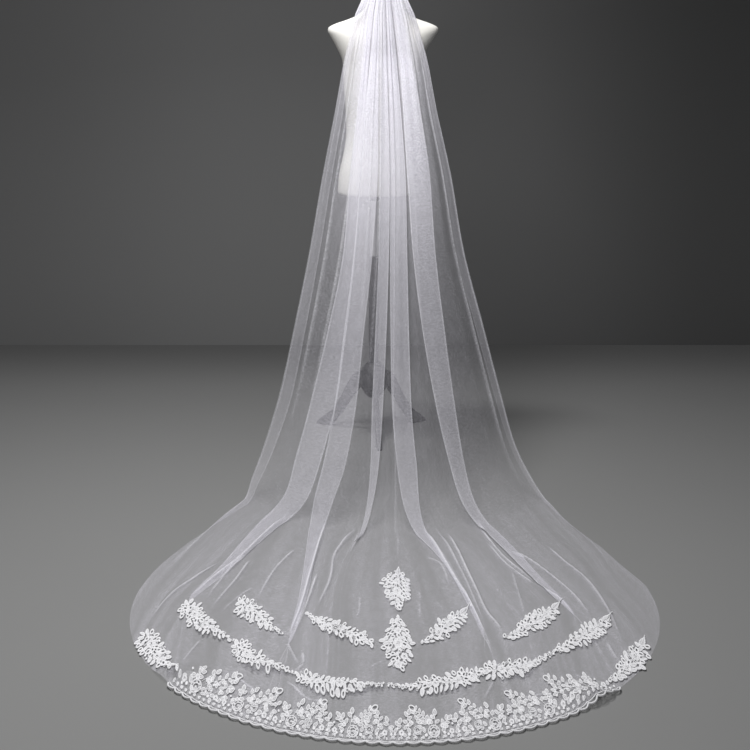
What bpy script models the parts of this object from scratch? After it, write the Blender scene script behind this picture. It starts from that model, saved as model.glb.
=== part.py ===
"""Cathedral bridal veil of gathered tulle with lace sprays, draped over a limbless dress form.

Metres, +Z up. The origin is on the floor under the middle of the part. The veil hangs from
its comb at the back of the form's neck, falls over the back and spreads in a train towards -Y.
Places on the floor are given across (X) and behind the form's pole (towards -Y).
"""
import math
from collections import namedtuple

import bmesh
import bpy
from mathutils import Matrix, Vector

# ---------------------------------------------------------------- driving dimensions
POLE_X = -0.0545           # the stand's pole, across
POLE_Y = 1.0173            # the stand's pole, along; the train runs from here towards -Y
SEAM_GAP = 0.0003          # between pieces that touch

VEIL_WALL = 0.0010         # the tulle's wall, thickened to a solid
TURN_DEPTH = 0.6           # a fold's rounded turn, as a share of its layers' spacing
FOLD_FADE = 0.015          # overlap over which a dying fold goes from flat to its full spacing
FLAT_OVERLAP = -0.010      # overlap at which a fold has opened out flat
FLAT_PITCH = 0.006         # spacing of a flat fold's columns
SETTLE_WIDTH = 0.060       # width of cloth over which it comes down from one fold to the next
EDGE_STEP = math.radians(4.0)
PLEAT_DEPTHS = (1.0, 0.6, 0.85, 0.5, 0.95, 0.7)

LACE_WALL = 0.0010         # corded lace, thickened to a solid
LACE_BASE = VEIL_WALL + SEAM_GAP

NECK_RADIUS = 0.058
NECK_TOP = 1.560
NECK_LEAN_TOP = 1.450      # the form leans a little to the right up to here
FORM_LEAN = 0.040          # sideways metres for each metre up
FORM_X = -0.045            # the form's middle at its bottom, across
FORM_BOTTOM = 0.863
FORM_SIDES = 36

# ---------------------------------------------------------------- the veil's cross rows
# Each station is one row of the cloth from its left edge to its right one:
# z             height of the row
# side, middle  how far behind the pole its two edges and its middle lie
# left, right   its edges, across
# power, bend   how the row bows between them
# tilt          how far its outer face looks up, in degrees
# gather        depth of its fine gathers
# layer         spacing of a fold's layers
# under_l/_r    width of the cloth turned under at each edge
Station = namedtuple("Station", "z side middle left right power bend tilt gather layer under_l under_r")
STATIONS = (
    Station(1.553, 0.004, 0.0632, -0.0847, 0.0417, 2.00, 0.50, 0, 0.0018, 0.0016, 0.008, 0.008),
    Station(1.506, 0.036, 0.0760, -0.093, 0.056, 2.00, 0.60, 3, 0.0030, 0.0022, 0.010, 0.010),
    Station(1.454, 0.050, 0.0860, -0.116, 0.081, 2.20, 0.80, 8, 0.0038, 0.0028, 0.014, 0.014),
    Station(1.380, 0.078, 0.1040, -0.134, 0.103, 2.20, 1.00, 15, 0.0045, 0.0034, 0.018, 0.018),
    Station(1.300, 0.112, 0.1260, -0.154, 0.125, 2.40, 1.00, 22, 0.0050, 0.0040, 0.020, 0.020),
    Station(1.150, 0.172, 0.2050, -0.181, 0.153, 2.40, 1.00, 30, 0.0050, 0.0045, 0.026, 0.026),
    Station(0.950, 0.250, 0.3250, -0.220, 0.197, 2.40, 1.00, 32, 0.0055, 0.0056, 0.030, 0.028),
    Station(0.720, 0.345, 0.4650, -0.260, 0.236, 2.40, 1.00, 33, 0.0060, 0.0064, 0.032, 0.026),
    Station(0.500, 0.435, 0.5950, -0.305, 0.294, 2.40, 1.00, 34, 0.0060, 0.0070, 0.035, 0.024),
    Station(0.300, 0.520, 0.7250, -0.350, 0.347, 2.40, 1.00, 37, 0.0052, 0.0070, 0.038, 0.020),
    Station(0.150, 0.597, 0.8370, -0.397, 0.390, 2.40, 1.00, 43, 0.0038, 0.0068, 0.038, 0.018),
    Station(0.055, 0.658, 0.9260, -0.435, 0.440, 2.40, 1.00, 54, 0.0022, 0.0060, 0.035, 0.018),
    Station(0.000, 0.720, 1.0100, -0.460, 0.485, 2.50, 1.00, 84, 0.0000, 0.0050, 0.032, 0.018),
    Station(0.000, 0.870, 1.2000, -0.518, 0.522, 2.40, 0.85, 90, 0.0000, 0.0035, 0.025, 0.016),
    Station(0.000, 1.050, 1.4500, -0.583, 0.582, 2.25, 0.75, 90, 0.0000, 0.0025, 0.015, 0.012),
    Station(0.000, 1.220, 1.6800, -0.642, 0.629, 2.15, 0.65, 90, 0.0000, 0.0000, -0.010, -0.010),
    Station(0.000, 1.360, 1.9200, -0.670, 0.671, 2.05, 0.55, 90, 0.0000, 0.0000, -0.010, -0.010),
    Station(0.000, 1.450, 2.1580, -0.676, 0.675, 2.00, 0.50, 90, 0.0000, 0.0000, -0.010, -0.010),
)
# The rows that the solid is cut into, by their place between the stations.
HUNG_ROWS = [0, 0.5, 1, 2, 3, 4, 5, 6, 7] + [8 + k / 2 for k in range(9)]
TRAIN_ROWS = [12.5, 13, 13.5, 14, 15, 16, 17]

# The five deep folds: three layers of cloth each. rise is +1 where the cloth on the right lies
# over the cloth on the left. centre and overlap hold one value for each station.
Fold = namedtuple("Fold", "rise centre overlap")
FOLDS = (
    Fold(1,
         (-0.0510, -0.0545, -0.0650, -0.0720, -0.0810, -0.0940, -0.1120, -0.1300, -0.1660,
          -0.2100, -0.2590, -0.3050, -0.3300, -0.3920, -0.4550, -0.4900, -0.5000, -0.5000),
         (0.005, 0.008, 0.012, 0.016, 0.020, 0.027, 0.034, 0.037, 0.055,
          0.075, 0.074, 0.065, 0.058, 0.035, -0.010, -0.010, -0.010, -0.010)),
    Fold(1,
         (-0.0375, -0.0385, -0.0440, -0.0470, -0.0520, -0.0600, -0.0675, -0.0845, -0.1100,
          -0.1345, -0.1600, -0.1870, -0.2060, -0.2230, -0.2500, -0.2800, -0.3000, -0.3100),
         (0.006, 0.010, 0.016, 0.022, 0.028, 0.042, 0.055, 0.055, 0.057,
          0.061, 0.063, 0.054, 0.050, 0.042, -0.010, -0.010, -0.010, -0.010)),
    Fold(-1,
         (-0.0230, -0.0215, -0.0205, -0.0195, -0.0190, -0.0180, -0.0180, -0.0225, -0.0315,
          -0.0440, -0.0570, -0.0720, -0.0870, -0.1300, -0.1500, -0.1500, -0.1500, -0.1500),
         (0.004, 0.007, 0.010, 0.013, 0.016, 0.024, 0.032, 0.033, 0.035,
          0.034, 0.026, 0.018, 0.012, -0.010, -0.010, -0.010, -0.010, -0.010)),
    Fold(-1,
         (-0.0105, -0.0050, -0.0010, 0.0040, 0.0090, 0.0160, 0.0230, 0.0240, 0.0265,
          0.0315, 0.0445, 0.0640, 0.0850, 0.1200, 0.1400, 0.1500, 0.1550, 0.1600),
         (0.006, 0.010, 0.015, 0.020, 0.026, 0.038, 0.050, 0.054, 0.057,
          0.059, 0.059, 0.042, 0.030, -0.010, -0.010, -0.010, -0.010, -0.010)),
    Fold(1,
         (0.0090, 0.0180, 0.0290, 0.0410, 0.0530, 0.0700, 0.0895, 0.1050, 0.1320,
          0.1660, 0.1985, 0.2315, 0.2500, 0.3150, 0.3850, 0.4300, 0.4500, 0.4600),
         (0.007, 0.012, 0.020, 0.030, 0.040, 0.058, 0.075, 0.074, 0.072,
          0.062, 0.049, 0.038, 0.040, 0.030, -0.010, -0.010, -0.010, -0.010)),
)
PANEL_COLUMNS = (12, 4, 5, 5, 6, 12)   # gathered cloth before, between and after the folds

# ---------------------------------------------------------------- the lace on the train
# One appliqué spray each: where its stem starts, passes and ends, its half width, its leaves
# on each side and its open gaps.
Spray = namedtuple("Spray", "x0 b0 x1 b1 x2 b2 half leaves gaps")
SPRAYS = {
    "spray_upper_1": Spray(-0.411, 1.436, -0.362, 1.520, -0.280, 1.655, 0.036, 5, 3),
    "spray_upper_2": Spray(-0.225, 1.538, -0.140, 1.640, -0.052, 1.700, 0.033, 6, 3),
    "spray_centre_1": Spray(0.014, 1.262, 0.002, 1.380, 0.010, 1.520, 0.043, 6, 4),
    "spray_centre_2": Spray(0.006, 1.555, 0.006, 1.700, 0.006, 1.835, 0.038, 6, 4),
    "spray_upper_3": Spray(0.064, 1.700, 0.120, 1.640, 0.195, 1.480, 0.033, 6, 3),
    "spray_upper_4": Spray(0.267, 1.672, 0.352, 1.600, 0.436, 1.450, 0.032, 5, 3),
    "garland_1": Spray(-0.552, 1.452, -0.505, 1.590, -0.392, 1.694, 0.035, 6, 3),
    "garland_2": Spray(-0.388, 1.700, -0.345, 1.800, -0.235, 1.862, 0.034, 6, 3),
    "garland_3": Spray(-0.230, 1.866, -0.130, 1.945, -0.030, 1.915, 0.034, 7, 3),
    "garland_4": Spray(-0.022, 1.914, 0.090, 1.945, 0.190, 1.850, 0.034, 7, 3),
    "garland_5": Spray(0.195, 1.846, 0.295, 1.850, 0.372, 1.752, 0.034, 6, 3),
    "garland_6": Spray(0.378, 1.748, 0.475, 1.665, 0.553, 1.528, 0.034, 6, 3),
    "spray_side_1": Spray(-0.622, 1.612, -0.595, 1.740, -0.520, 1.850, 0.033, 5, 3),
    "spray_side_2": Spray(0.488, 1.892, 0.560, 1.810, 0.610, 1.660, 0.032, 5, 3),
}
LEAF_FROM, LEAF_SPAN = 0.05, 0.90     # the stretch of the stem that bears leaves
GAP_LONG, GAP_HIGH = 0.0085, 0.0042   # half length and half height of a spray's gap
GAP_ASIDE = 0.36                      # how far a gap lies from the stem, as a share of the half width
HEM_FROM, HEM_TO = math.radians(-50.0), math.radians(48.0)   # on the hem's ellipse
HEM_STRIPS = 4
HEM_REPEATS = 2            # repeats of the pattern on each strip
HEM_OVERHANG = 0.014       # the corded edge stands past the tulle
# One repeat, from its left end: place along it (0 to 1) and depth inwards from the cloth's edge.
HEM_CREST = ((0.00, 0.060), (0.07, 0.088), (0.11, 0.074), (0.19, 0.120), (0.25, 0.098),
             (0.33, 0.158), (0.40, 0.136), (0.46, 0.150), (0.52, 0.108), (0.62, 0.128),
             (0.68, 0.086), (0.78, 0.104), (0.84, 0.068), (0.93, 0.080))
HEM_SCALLOPS = 4
# Open gaps of one repeat: place along, depth, half length and half height.
HEM_GAPS = ((0.15, 0.045, 0.050, 0.011), (0.37, 0.052, 0.060, 0.013), (0.36, 0.098, 0.050, 0.010),
            (0.60, 0.048, 0.050, 0.012), (0.82, 0.038, 0.045, 0.009))

# ---------------------------------------------------------------- the dress form
# z, half width, depth behind the pole, depth in front of it
FORM_RINGS = (
    (0.863, 0.130, 0.098, 0.092),
    (0.872, 0.134, 0.102, 0.096),
    (0.930, 0.131, 0.101, 0.094),
    (1.000, 0.118, 0.091, 0.086),
    (1.060, 0.112, 0.085, 0.084),
    (1.130, 0.115, 0.087, 0.094),
    (1.200, 0.123, 0.092, 0.108),
    (1.260, 0.128, 0.096, 0.112),
    (1.310, 0.133, 0.096, 0.108),
    (1.350, 0.152, 0.092, 0.100),
    (1.385, 0.173, 0.084, 0.089),
    (1.405, 0.185, 0.074, 0.078),
    (1.418, 0.182, 0.066, 0.070),
    (1.430, 0.158, 0.061, 0.065),
    (1.442, 0.122, 0.058, 0.061),
    (1.454, 0.093, 0.057, 0.059),
    (1.470, 0.070, 0.057, 0.058),
    (1.485, 0.061, 0.057, 0.058),
    (1.500, NECK_RADIUS, NECK_RADIUS, NECK_RADIUS),
    (NECK_TOP, NECK_RADIUS, NECK_RADIUS, NECK_RADIUS),
)

# The stand, each length from the floor.
TUBE_RADIUS, TUBE_TOP = 0.0175, 0.642
POLE_RADIUS = 0.0125
COLLAR_RADIUS, COLLAR_HEIGHT = 0.020, 0.025
HUB_RADIUS = 0.047
HUB_PROFILE = ((0.0, 0.128), (0.018, 0.130), (0.030, 0.140), (0.040, 0.157), (HUB_RADIUS, 0.170),
               (HUB_RADIUS, 0.222), (0.040, 0.238), (0.030, 0.250), (0.0215, 0.259), (0.0, 0.259))
TRIPOD_TURN = math.radians(-5.0)
LEG_ROOT, LEG_REACH = HUB_RADIUS + SEAM_GAP, 0.230
LEG_THICK, LEG_ROUNDING = 0.017, 0.0025
# A leg is a flat curved bar with a pointed toe, seen from its side: out from the pole, up.
LEG_UPPER_EDGE = ((LEG_ROOT, 0.218), (0.062, 0.220), (0.085, 0.199), (0.107, 0.162), (0.130, 0.118),
                  (0.155, 0.080), (0.173, 0.056), (0.200, 0.034), (0.217, 0.021), (LEG_REACH, 0.008))
LEG_LOWER_EDGE = ((LEG_REACH, 0.0), (0.172, 0.0), (0.158, 0.014), (0.145, 0.033), (0.117, 0.068),
                  (0.097, 0.102), (0.069, 0.139), (0.056, 0.157), (LEG_ROOT, 0.168))

# The comb: a curved bar with teeth that slide down behind the neck.
COMB_BAR_THICK, COMB_BAR_HEIGHT = 0.0026, 0.009
COMB_TOP, COMB_HALF_ANGLE = 1.5575, math.radians(46.0)
COMB_SEGMENTS = 25
TOOTH_LENGTH = 0.042
BINDING_OUT, BINDING_THICK, BINDING_HEIGHT, BINDING_INSET = 0.0108, 0.0012, 0.011, 0.010

COLOURS = {
    "tulle": ((0.90, 0.90, 0.93), 0.75, 0.0),
    "lace": ((0.95, 0.95, 0.96), 0.70, 0.0),
    "ribbon": ((0.93, 0.93, 0.94), 0.40, 0.0),
    "comb": ((0.85, 0.86, 0.88), 0.25, 0.0),
    "jersey": ((0.87, 0.85, 0.80), 0.80, 0.0),
    "steel": ((0.75, 0.75, 0.76), 0.25, 1.0),
    "black": ((0.05, 0.05, 0.055), 0.45, 0.3),
}


# ---------------------------------------------------------------- helpers
def clear_scene():
    for old in list(bpy.data.objects):
        bpy.data.objects.remove(old, do_unlink=True)


def material(name):
    """The named finish, made once."""
    found = bpy.data.materials.get(name)
    if found:
        return found
    colour, roughness, metallic = COLOURS[name]
    made = bpy.data.materials.new(name)
    made.use_nodes = True
    shader = made.node_tree.nodes["Principled BSDF"]
    shader.inputs["Base Color"].default_value = (*colour, 1.0)
    shader.inputs["Roughness"].default_value = roughness
    shader.inputs["Metallic"].default_value = metallic
    return made


def add_object(name, bm, finish, smooth=True, place=(0.0, 0.0, 0.0)):
    """Turn a finished bmesh into a named object."""
    mesh = bpy.data.meshes.new(name)
    bm.to_mesh(mesh)
    bm.free()
    if smooth:
        mesh.shade_smooth()
    made = bpy.data.objects.new(name, mesh)
    made.location = place
    made.data.materials.append(material(finish))
    bpy.context.collection.objects.link(made)
    return made


def between(values, at):
    """A smooth value between those of the stations, through each of them."""
    low = min(int(at), len(values) - 2)
    t = at - low
    before, start = values[max(low - 1, 0)], values[low]
    end, after = values[low + 1], values[min(low + 2, len(values) - 1)]
    rise_in, rise_out = (end - before) / 2, (after - start) / 2
    steep = 3 * abs(end - start)
    if (end - start) * rise_in <= 0:
        rise_in = 0.0
    if (end - start) * rise_out <= 0:
        rise_out = 0.0
    rise_in = max(-steep, min(steep, rise_in))
    rise_out = max(-steep, min(steep, rise_out))
    return ((2 * t**3 - 3 * t**2 + 1) * start + (t**3 - 2 * t**2 + t) * rise_in
            + (3 * t**2 - 2 * t**3) * end + (t**3 - t**2) * rise_out)


def clamp(value, low=0.0, high=1.0):
    return max(low, min(high, value))


# ---------------------------------------------------------------- the veil's surface
def row_at(at):
    """The veil's row at a place between the stations."""
    return Station(*(between([s[k] for s in STATIONS], at) for k in range(len(STATIONS[0]))))


def row_bow(row, x):
    """How far behind the pole the row lies at x."""
    half = (row.right - row.left) / 2
    u = clamp((x - (row.left + row.right) / 2) / half, -1.0, 1.0)
    return row.side + (row.middle - row.side) * (1 - abs(u) ** row.power) ** row.bend


def row_point(row, x, out):
    """The point of a row at x, moved out from the cloth's base surface."""
    step = (row.right - row.left) * 0.004
    low, high = max(x - step, row.left + step), min(x + step, row.right - step)
    slope = (row_bow(row, high) - row_bow(row, low)) / (high - low) if high > low else 0.0
    tilt = math.radians(row.tilt)
    level = math.cos(tilt) * out / math.hypot(1.0, slope)
    behind = row_bow(row, x) + level
    return Vector((x - slope * level, POLE_Y - behind, row.z + VEIL_WALL / 2 + math.sin(tilt) * out))


def fold_columns(fold, at, row, start):
    """Six columns of a deep fold: x and level of each, from the level where it starts."""
    centre, overlap = between(fold.centre, at), between(fold.overlap, at)
    layer = fold_layer(fold, at, row)
    folded = clamp((overlap - FLAT_OVERLAP) / 0.012)
    lap = max(overlap, 0.0) / 2
    turn = min(TURN_DEPTH * abs(layer), lap * 0.9)
    shape = ((lap - turn, 0.0), (lap, 0.5), (lap - turn, 1.0), (turn - lap, 1.0), (-lap, 1.5), (turn - lap, 2.0))
    return [(centre + folded * x + (1 - folded) * (k - 2.5) * FLAT_PITCH, start + n * layer)
            for k, (x, n) in enumerate(shape)]


def fold_layer(fold, at, row):
    """Spacing of a fold's layers, with its sign; it goes to nothing as the fold opens flat."""
    return fold.rise * row.layer * clamp((between(fold.overlap, at) - FLAT_OVERLAP) / FOLD_FADE)


def edge_columns(row, side):
    """Five columns of an edge turned under, from the cloth's free edge to the turn."""
    under = row.under_l if side < 0 else row.under_r
    edge = row.left if side < 0 else row.right
    half = (row.right - row.left) / 2
    folded = clamp((under - FLAT_OVERLAP) / 0.02)
    layer = row.layer * folded
    turn = min(TURN_DEPTH * layer, max(under, 0.0) / 2)
    wide = max(under, 0.0)
    shape = ((wide, 0.0), (wide * 0.5, 0.0), (turn, 0.0), (0.0, 0.5), (turn, 1.0))
    return [(edge - side * (folded * x + (1 - folded) * half * (1 - math.cos(k * EDGE_STEP))), n * layer)
            for k, (x, n) in enumerate(shape)]


def panel_columns(row, count, start, end, clear, leans, first):
    """Gathered cloth between two folds, spaced evenly round the row's bow.

    The gathers lean away from the folds' layers: by the first lean up to where the cloth comes
    clear of the fold before it, and by the second from where it meets the next one.
    """
    mid, half = (row.left + row.right) / 2, (row.right - row.left) / 2
    turn_from = math.asin(clamp((start[0] - mid) / half, -1.0, 1.0))
    turn_to = math.asin(clamp((end[0] - mid) / half, -1.0, 1.0))
    made = []
    for k in range(count):
        t = (k + 1) / (count + 1)
        x = mid + half * math.sin(turn_from + (turn_to - turn_from) * t)
        free = clamp((x - clear[0]) / (clear[1] - clear[0])) if clear[1] > clear[0] else float(x > clear[1])
        lean = leans[0] + (leans[1] - leans[0]) * free
        swing = 1.0 if k % 2 else -1.0
        depth = PLEAT_DEPTHS[(first + k) % len(PLEAT_DEPTHS)]
        level = start[1] + (end[1] - start[1]) * free
        made.append((x, level + row.gather * depth * (lean + swing) / 2))
    return made


def row_columns(at):
    """Every column of one row, from the left free edge to the right one, as x and level."""
    row = row_at(at)
    columns = edge_columns(row, -1)
    lean, clear_from = 1, row.left + max(row.under_l, 0.0)
    for k, fold in enumerate(FOLDS):
        layer = fold_layer(fold, at, row)
        centre, lap = between(fold.centre, at), max(between(fold.overlap, at), 0.0) / 2
        needs, have = max(-2 * layer, 0.0), columns[-1][1]
        settled = clamp((centre - lap - clear_from) / SETTLE_WIDTH)
        turns = fold_columns(fold, at, row, max(needs, have + (needs - have) * settled))
        columns += panel_columns(row, PANEL_COLUMNS[k], columns[-1], turns[0],
                                 (clear_from, centre - lap), (lean, -fold.rise), len(columns))
        columns += turns
        lean, clear_from = fold.rise, centre + lap
    right = edge_columns(row, 1)[::-1]
    clear_to = row.right - max(row.under_r, 0.0)
    columns += panel_columns(row, PANEL_COLUMNS[-1], columns[-1], right[0],
                             (clear_from, clear_to), (lean, 1), len(columns))
    return row, columns + right


def make_tulle():
    """The veil's one panel of tulle, gathered at the comb and spread on the floor."""
    places = HUNG_ROWS + TRAIN_ROWS
    rows = [row_columns(at) for at in places]
    across, down = len(rows[0][1]), len(rows)
    bm = bmesh.new()
    bmesh.ops.create_grid(bm, x_segments=across - 1, y_segments=down - 1, size=1.0)
    for vert in bm.verts:
        column = round((vert.co.x + 1) / 2 * (across - 1))
        row, columns = rows[round((1 - vert.co.y) / 2 * (down - 1))]
        vert.co = row_point(row, *columns[column])
    bm.normal_update()
    made = add_object("veil_tulle", bm, "tulle")
    wall = made.modifiers.new("Wall", "SOLIDIFY")
    wall.thickness = VEIL_WALL
    wall.offset = 0.0
    return made


# ---------------------------------------------------------------- lace
def plate(name, outline, gaps):
    """A thin plate of lace on the train, from its outline and its open gaps."""
    bm = bmesh.new()
    for loop in [outline] + gaps:
        verts = [bm.verts.new((x, POLE_Y - behind, LACE_BASE)) for x, behind in loop]
        for one, two in zip(verts, verts[1:] + verts[:1]):
            bm.edges.new((one, two))
    bmesh.ops.triangle_fill(bm, edges=bm.edges[:], use_beauty=True, use_dissolve=False)
    bmesh.ops.recalc_face_normals(bm, faces=bm.faces[:])
    if sum(face.normal.z for face in bm.faces) > 0:
        bmesh.ops.reverse_faces(bm, faces=bm.faces[:])
    raised = bmesh.ops.extrude_face_region(bm, geom=bm.faces[:], use_keep_orig=True)
    top = [part for part in raised["geom"] if isinstance(part, bmesh.types.BMVert)]
    bmesh.ops.translate(bm, verts=top, vec=(0.0, 0.0, LACE_WALL))
    bmesh.ops.recalc_face_normals(bm, faces=bm.faces[:])
    return add_object(name, bm, "lace", smooth=False)


def stem_point(spray, t):
    """A point of the spray's stem and the direction square to it."""
    x = (1 - t) ** 2 * spray.x0 + 2 * t * (1 - t) * spray.x1 + t**2 * spray.x2
    b = (1 - t) ** 2 * spray.b0 + 2 * t * (1 - t) * spray.b1 + t**2 * spray.b2
    dx = 2 * (1 - t) * (spray.x1 - spray.x0) + 2 * t * (spray.x2 - spray.x1)
    db = 2 * (1 - t) * (spray.b1 - spray.b0) + 2 * t * (spray.b2 - spray.b1)
    size = math.hypot(dx, db)
    return (x, b), (-db / size, dx / size)


def spray_side(spray, side):
    """Leaves along one side of a spray: for each its notch, its shoulder and its tip."""
    points = []
    for leaf in range(spray.leaves):
        for share, reach in ((0.04, 0.30), (0.30, 0.74), (0.66, 1.00), (0.92, 0.62)):
            t = LEAF_FROM + LEAF_SPAN * (leaf + share) / spray.leaves
            swell = math.sin(math.pi * t) ** 0.6
            uneven = 1.0 + 0.16 * math.sin(2.4 * leaf + side)
            (x, b), (nx, nb) = stem_point(spray, t)
            out = side * spray.half * reach * swell * uneven
            points.append((x + nx * out, b + nb * out))
    return points


def spray_gaps(spray):
    """Slim open gaps at the roots of leaves, first on one side of the stem, then on the other."""
    gaps = []
    for k in range(spray.gaps):
        side = 1 if k % 2 else -1
        leaf = (spray.leaves - spray.gaps) // 2 + k
        (x, b), (nx, nb) = stem_point(spray, LEAF_FROM + LEAF_SPAN * (leaf + 0.52) / spray.leaves)
        x, b = x + side * nx * spray.half * GAP_ASIDE, b + side * nb * spray.half * GAP_ASIDE
        gaps.append([(x + nb * a + nx * c, b - nx * a + nb * c)
                     for a, c in ((GAP_LONG, 0.0), (0.0, GAP_HIGH), (-GAP_LONG, 0.0), (0.0, -GAP_HIGH))])
    return gaps


def make_spray(name, spray):
    ends = [stem_point(spray, t)[0] for t in (0.0, 1.0)]
    outline = [ends[0]] + spray_side(spray, 1) + [ends[1]] + spray_side(spray, -1)[::-1]
    return plate(name, outline, spray_gaps(spray))


def hem_point(turn, depth):
    """A point at a place on the hem's ellipse, moved inwards by a depth."""
    last = STATIONS[-1]
    mid, half, long = (last.left + last.right) / 2, (last.right - last.left) / 2, last.middle - last.side
    nx, nb = math.sin(turn) / half, math.cos(turn) / long
    size = math.hypot(nx, nb)
    return (mid + half * math.sin(turn) - nx / size * depth,
            last.side + long * math.cos(turn) - nb / size * depth)


def make_hem_strip(number):
    """One strip of the scalloped hem lace, with its repeats."""
    span = (HEM_TO - HEM_FROM) / HEM_STRIPS
    start = HEM_FROM + span * number
    gap = SEAM_GAP / (STATIONS[-1].right - STATIONS[-1].left)
    start, span = start + gap, span - 2 * gap
    each = span / HEM_REPEATS
    crest, edge, gaps = [], [], []
    for repeat in range(HEM_REPEATS):
        left = start + each * repeat
        crest += [hem_point(left + each * along, depth) for along, depth in HEM_CREST]
        for scallop in range(HEM_SCALLOPS):
            for share, out in ((0.0, 0.25), (0.25, 0.85), (0.5, 1.0), (0.75, 0.85)):
                edge.append(hem_point(left + each * (scallop + share) / HEM_SCALLOPS, -HEM_OVERHANG * out))
        for along, depth, half_long, half_high in HEM_GAPS:
            middle = left + each * along
            long = each * half_long
            gaps.append([hem_point(middle + a * long, depth + c * half_high)
                         for a, c in ((1, 0), (0.4, 1), (-0.7, 0.6), (-0.7, -0.6), (0.4, -1))])
    crest.append(hem_point(start + span, HEM_CREST[0][1]))
    edge.append(hem_point(start + span, -HEM_OVERHANG * 0.25))
    return plate(f"hem_lace_{number + 1}", crest + edge[::-1], gaps)


# ---------------------------------------------------------------- comb and binding
def make_comb():
    """The comb: an arc of segments whose every second one grows a tooth."""
    radius = NECK_RADIUS + SEAM_GAP
    bm = bmesh.new()
    start = [bm.verts.new((0.0, -radius - depth, COMB_TOP - drop))
             for depth, drop in ((0.0, 0.0), (0.0, COMB_BAR_HEIGHT), (COMB_BAR_THICK, COMB_BAR_HEIGHT),
                                 (COMB_BAR_THICK, 0.0))]
    face = bm.faces.new(start)
    bmesh.ops.rotate(bm, verts=start, cent=(0, 0, 0), matrix=Matrix.Rotation(-COMB_HALF_ANGLE, 3, "Z"))
    bmesh.ops.spin(bm, geom=[face], cent=(0, 0, 0), axis=(0, 0, 1), angle=2 * COMB_HALF_ANGLE,
                   steps=COMB_SEGMENTS, use_duplicate=False)
    bmesh.ops.recalc_face_normals(bm, faces=bm.faces[:])
    under = [f for f in bm.faces if f.normal.z < -0.9]
    under.sort(key=lambda f: math.atan2(f.calc_center_median().x, -f.calc_center_median().y))
    for tooth in under[::2]:
        grown = bmesh.ops.extrude_discrete_faces(bm, faces=[tooth])["faces"][0]
        bmesh.ops.translate(bm, verts=grown.verts[:], vec=(0.0, 0.0, -TOOTH_LENGTH))
        middle = grown.calc_center_median()
        for vert in grown.verts:
            away = Vector((middle.x, middle.y, 0)).normalized()
            along = Vector((-away.y, away.x, 0))
            offset = along.dot(vert.co - middle)
            vert.co -= along * offset * 0.45
    bmesh.ops.recalc_face_normals(bm, faces=bm.faces[:])
    return add_object("veil_comb", bm, "comb", smooth=False, place=(form_middle(COMB_TOP), POLE_Y, 0.0))


def make_binding():
    """The ribbon sewn over the gathers on the comb."""
    bm = bmesh.new()
    bmesh.ops.create_grid(bm, x_segments=20, y_segments=2, size=1.0)
    for vert in bm.verts:
        down = BINDING_HEIGHT * (1 - vert.co.y) / 2
        row = row_at(down / (STATIONS[0].z - STATIONS[1].z))
        half = (row.right - row.left) / 2 - BINDING_INSET
        vert.co = row_point(row, (row.right + row.left) / 2 + half * vert.co.x, BINDING_OUT)
    bm.normal_update()
    made = add_object("veil_binding", bm, "ribbon")
    wall = made.modifiers.new("Wall", "SOLIDIFY")
    wall.thickness = BINDING_THICK
    wall.offset = 0.0
    return made


# ---------------------------------------------------------------- dress form and stand
def form_middle(z):
    """The form's middle, across, at a height."""
    return FORM_X + FORM_LEAN * (min(z, NECK_LEAN_TOP) - FORM_BOTTOM)


def make_form():
    """The headless, limbless body, one closed loft of rings."""
    bm = bmesh.new()
    rings = []
    for z, half, back, front in FORM_RINGS:
        power = 2.0 + 0.5 * clamp((half - NECK_RADIUS) / 0.05)
        ring = []
        for k in range(FORM_SIDES):
            angle = 2 * math.pi * k / FORM_SIDES
            c, s = math.cos(angle), math.sin(angle)
            deep = back if s > 0 else front
            x = math.copysign(abs(c) ** (2 / power), c) * half
            y = math.copysign(abs(s) ** (2 / power), s) * deep
            ring.append(bm.verts.new((form_middle(z) + x, POLE_Y - y, z)))
        rings.append(ring)
    for low, high in zip(rings, rings[1:]):
        edges = [bm.edges.get((r[k], r[k - 1])) or bm.edges.new((r[k], r[k - 1]))
                 for r in (low, high) for k in range(FORM_SIDES)]
        bmesh.ops.bridge_loops(bm, edges=edges)
    for ring in (rings[0], rings[-1]):
        bm.faces.new(ring)
    bmesh.ops.recalc_face_normals(bm, faces=bm.faces[:])
    made = add_object("form_body", bm, "jersey")
    made.data.set_sharp_from_angle(angle=math.radians(50))
    return made


def lathe(name, profile, finish, sides, place):
    """A turned piece: its profile runs from the axis, out and back to the axis."""
    bm = bmesh.new()
    verts = [bm.verts.new((radius, 0.0, z)) for radius, z in profile]
    edges = [bm.edges.new(pair) for pair in zip(verts, verts[1:])]
    bmesh.ops.spin(bm, geom=verts + edges, cent=(0, 0, 0), axis=(0, 0, 1), angle=2 * math.pi,
                   steps=sides, use_merge=True, use_duplicate=False)
    bmesh.ops.remove_doubles(bm, verts=bm.verts[:], dist=0.00001)
    bmesh.ops.recalc_face_normals(bm, faces=bm.faces[:])
    made = add_object(name, bm, finish, place=place)
    made.data.set_sharp_from_angle(angle=math.radians(40))
    return made


def rod(name, radius, low, high, finish):
    """A round upright on the pole's axis."""
    profile = ((0.0, low), (radius, low), (radius, high), (0.0, high))
    lathe(name, profile, finish, 16, (POLE_X, POLE_Y, 0.0))


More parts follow.
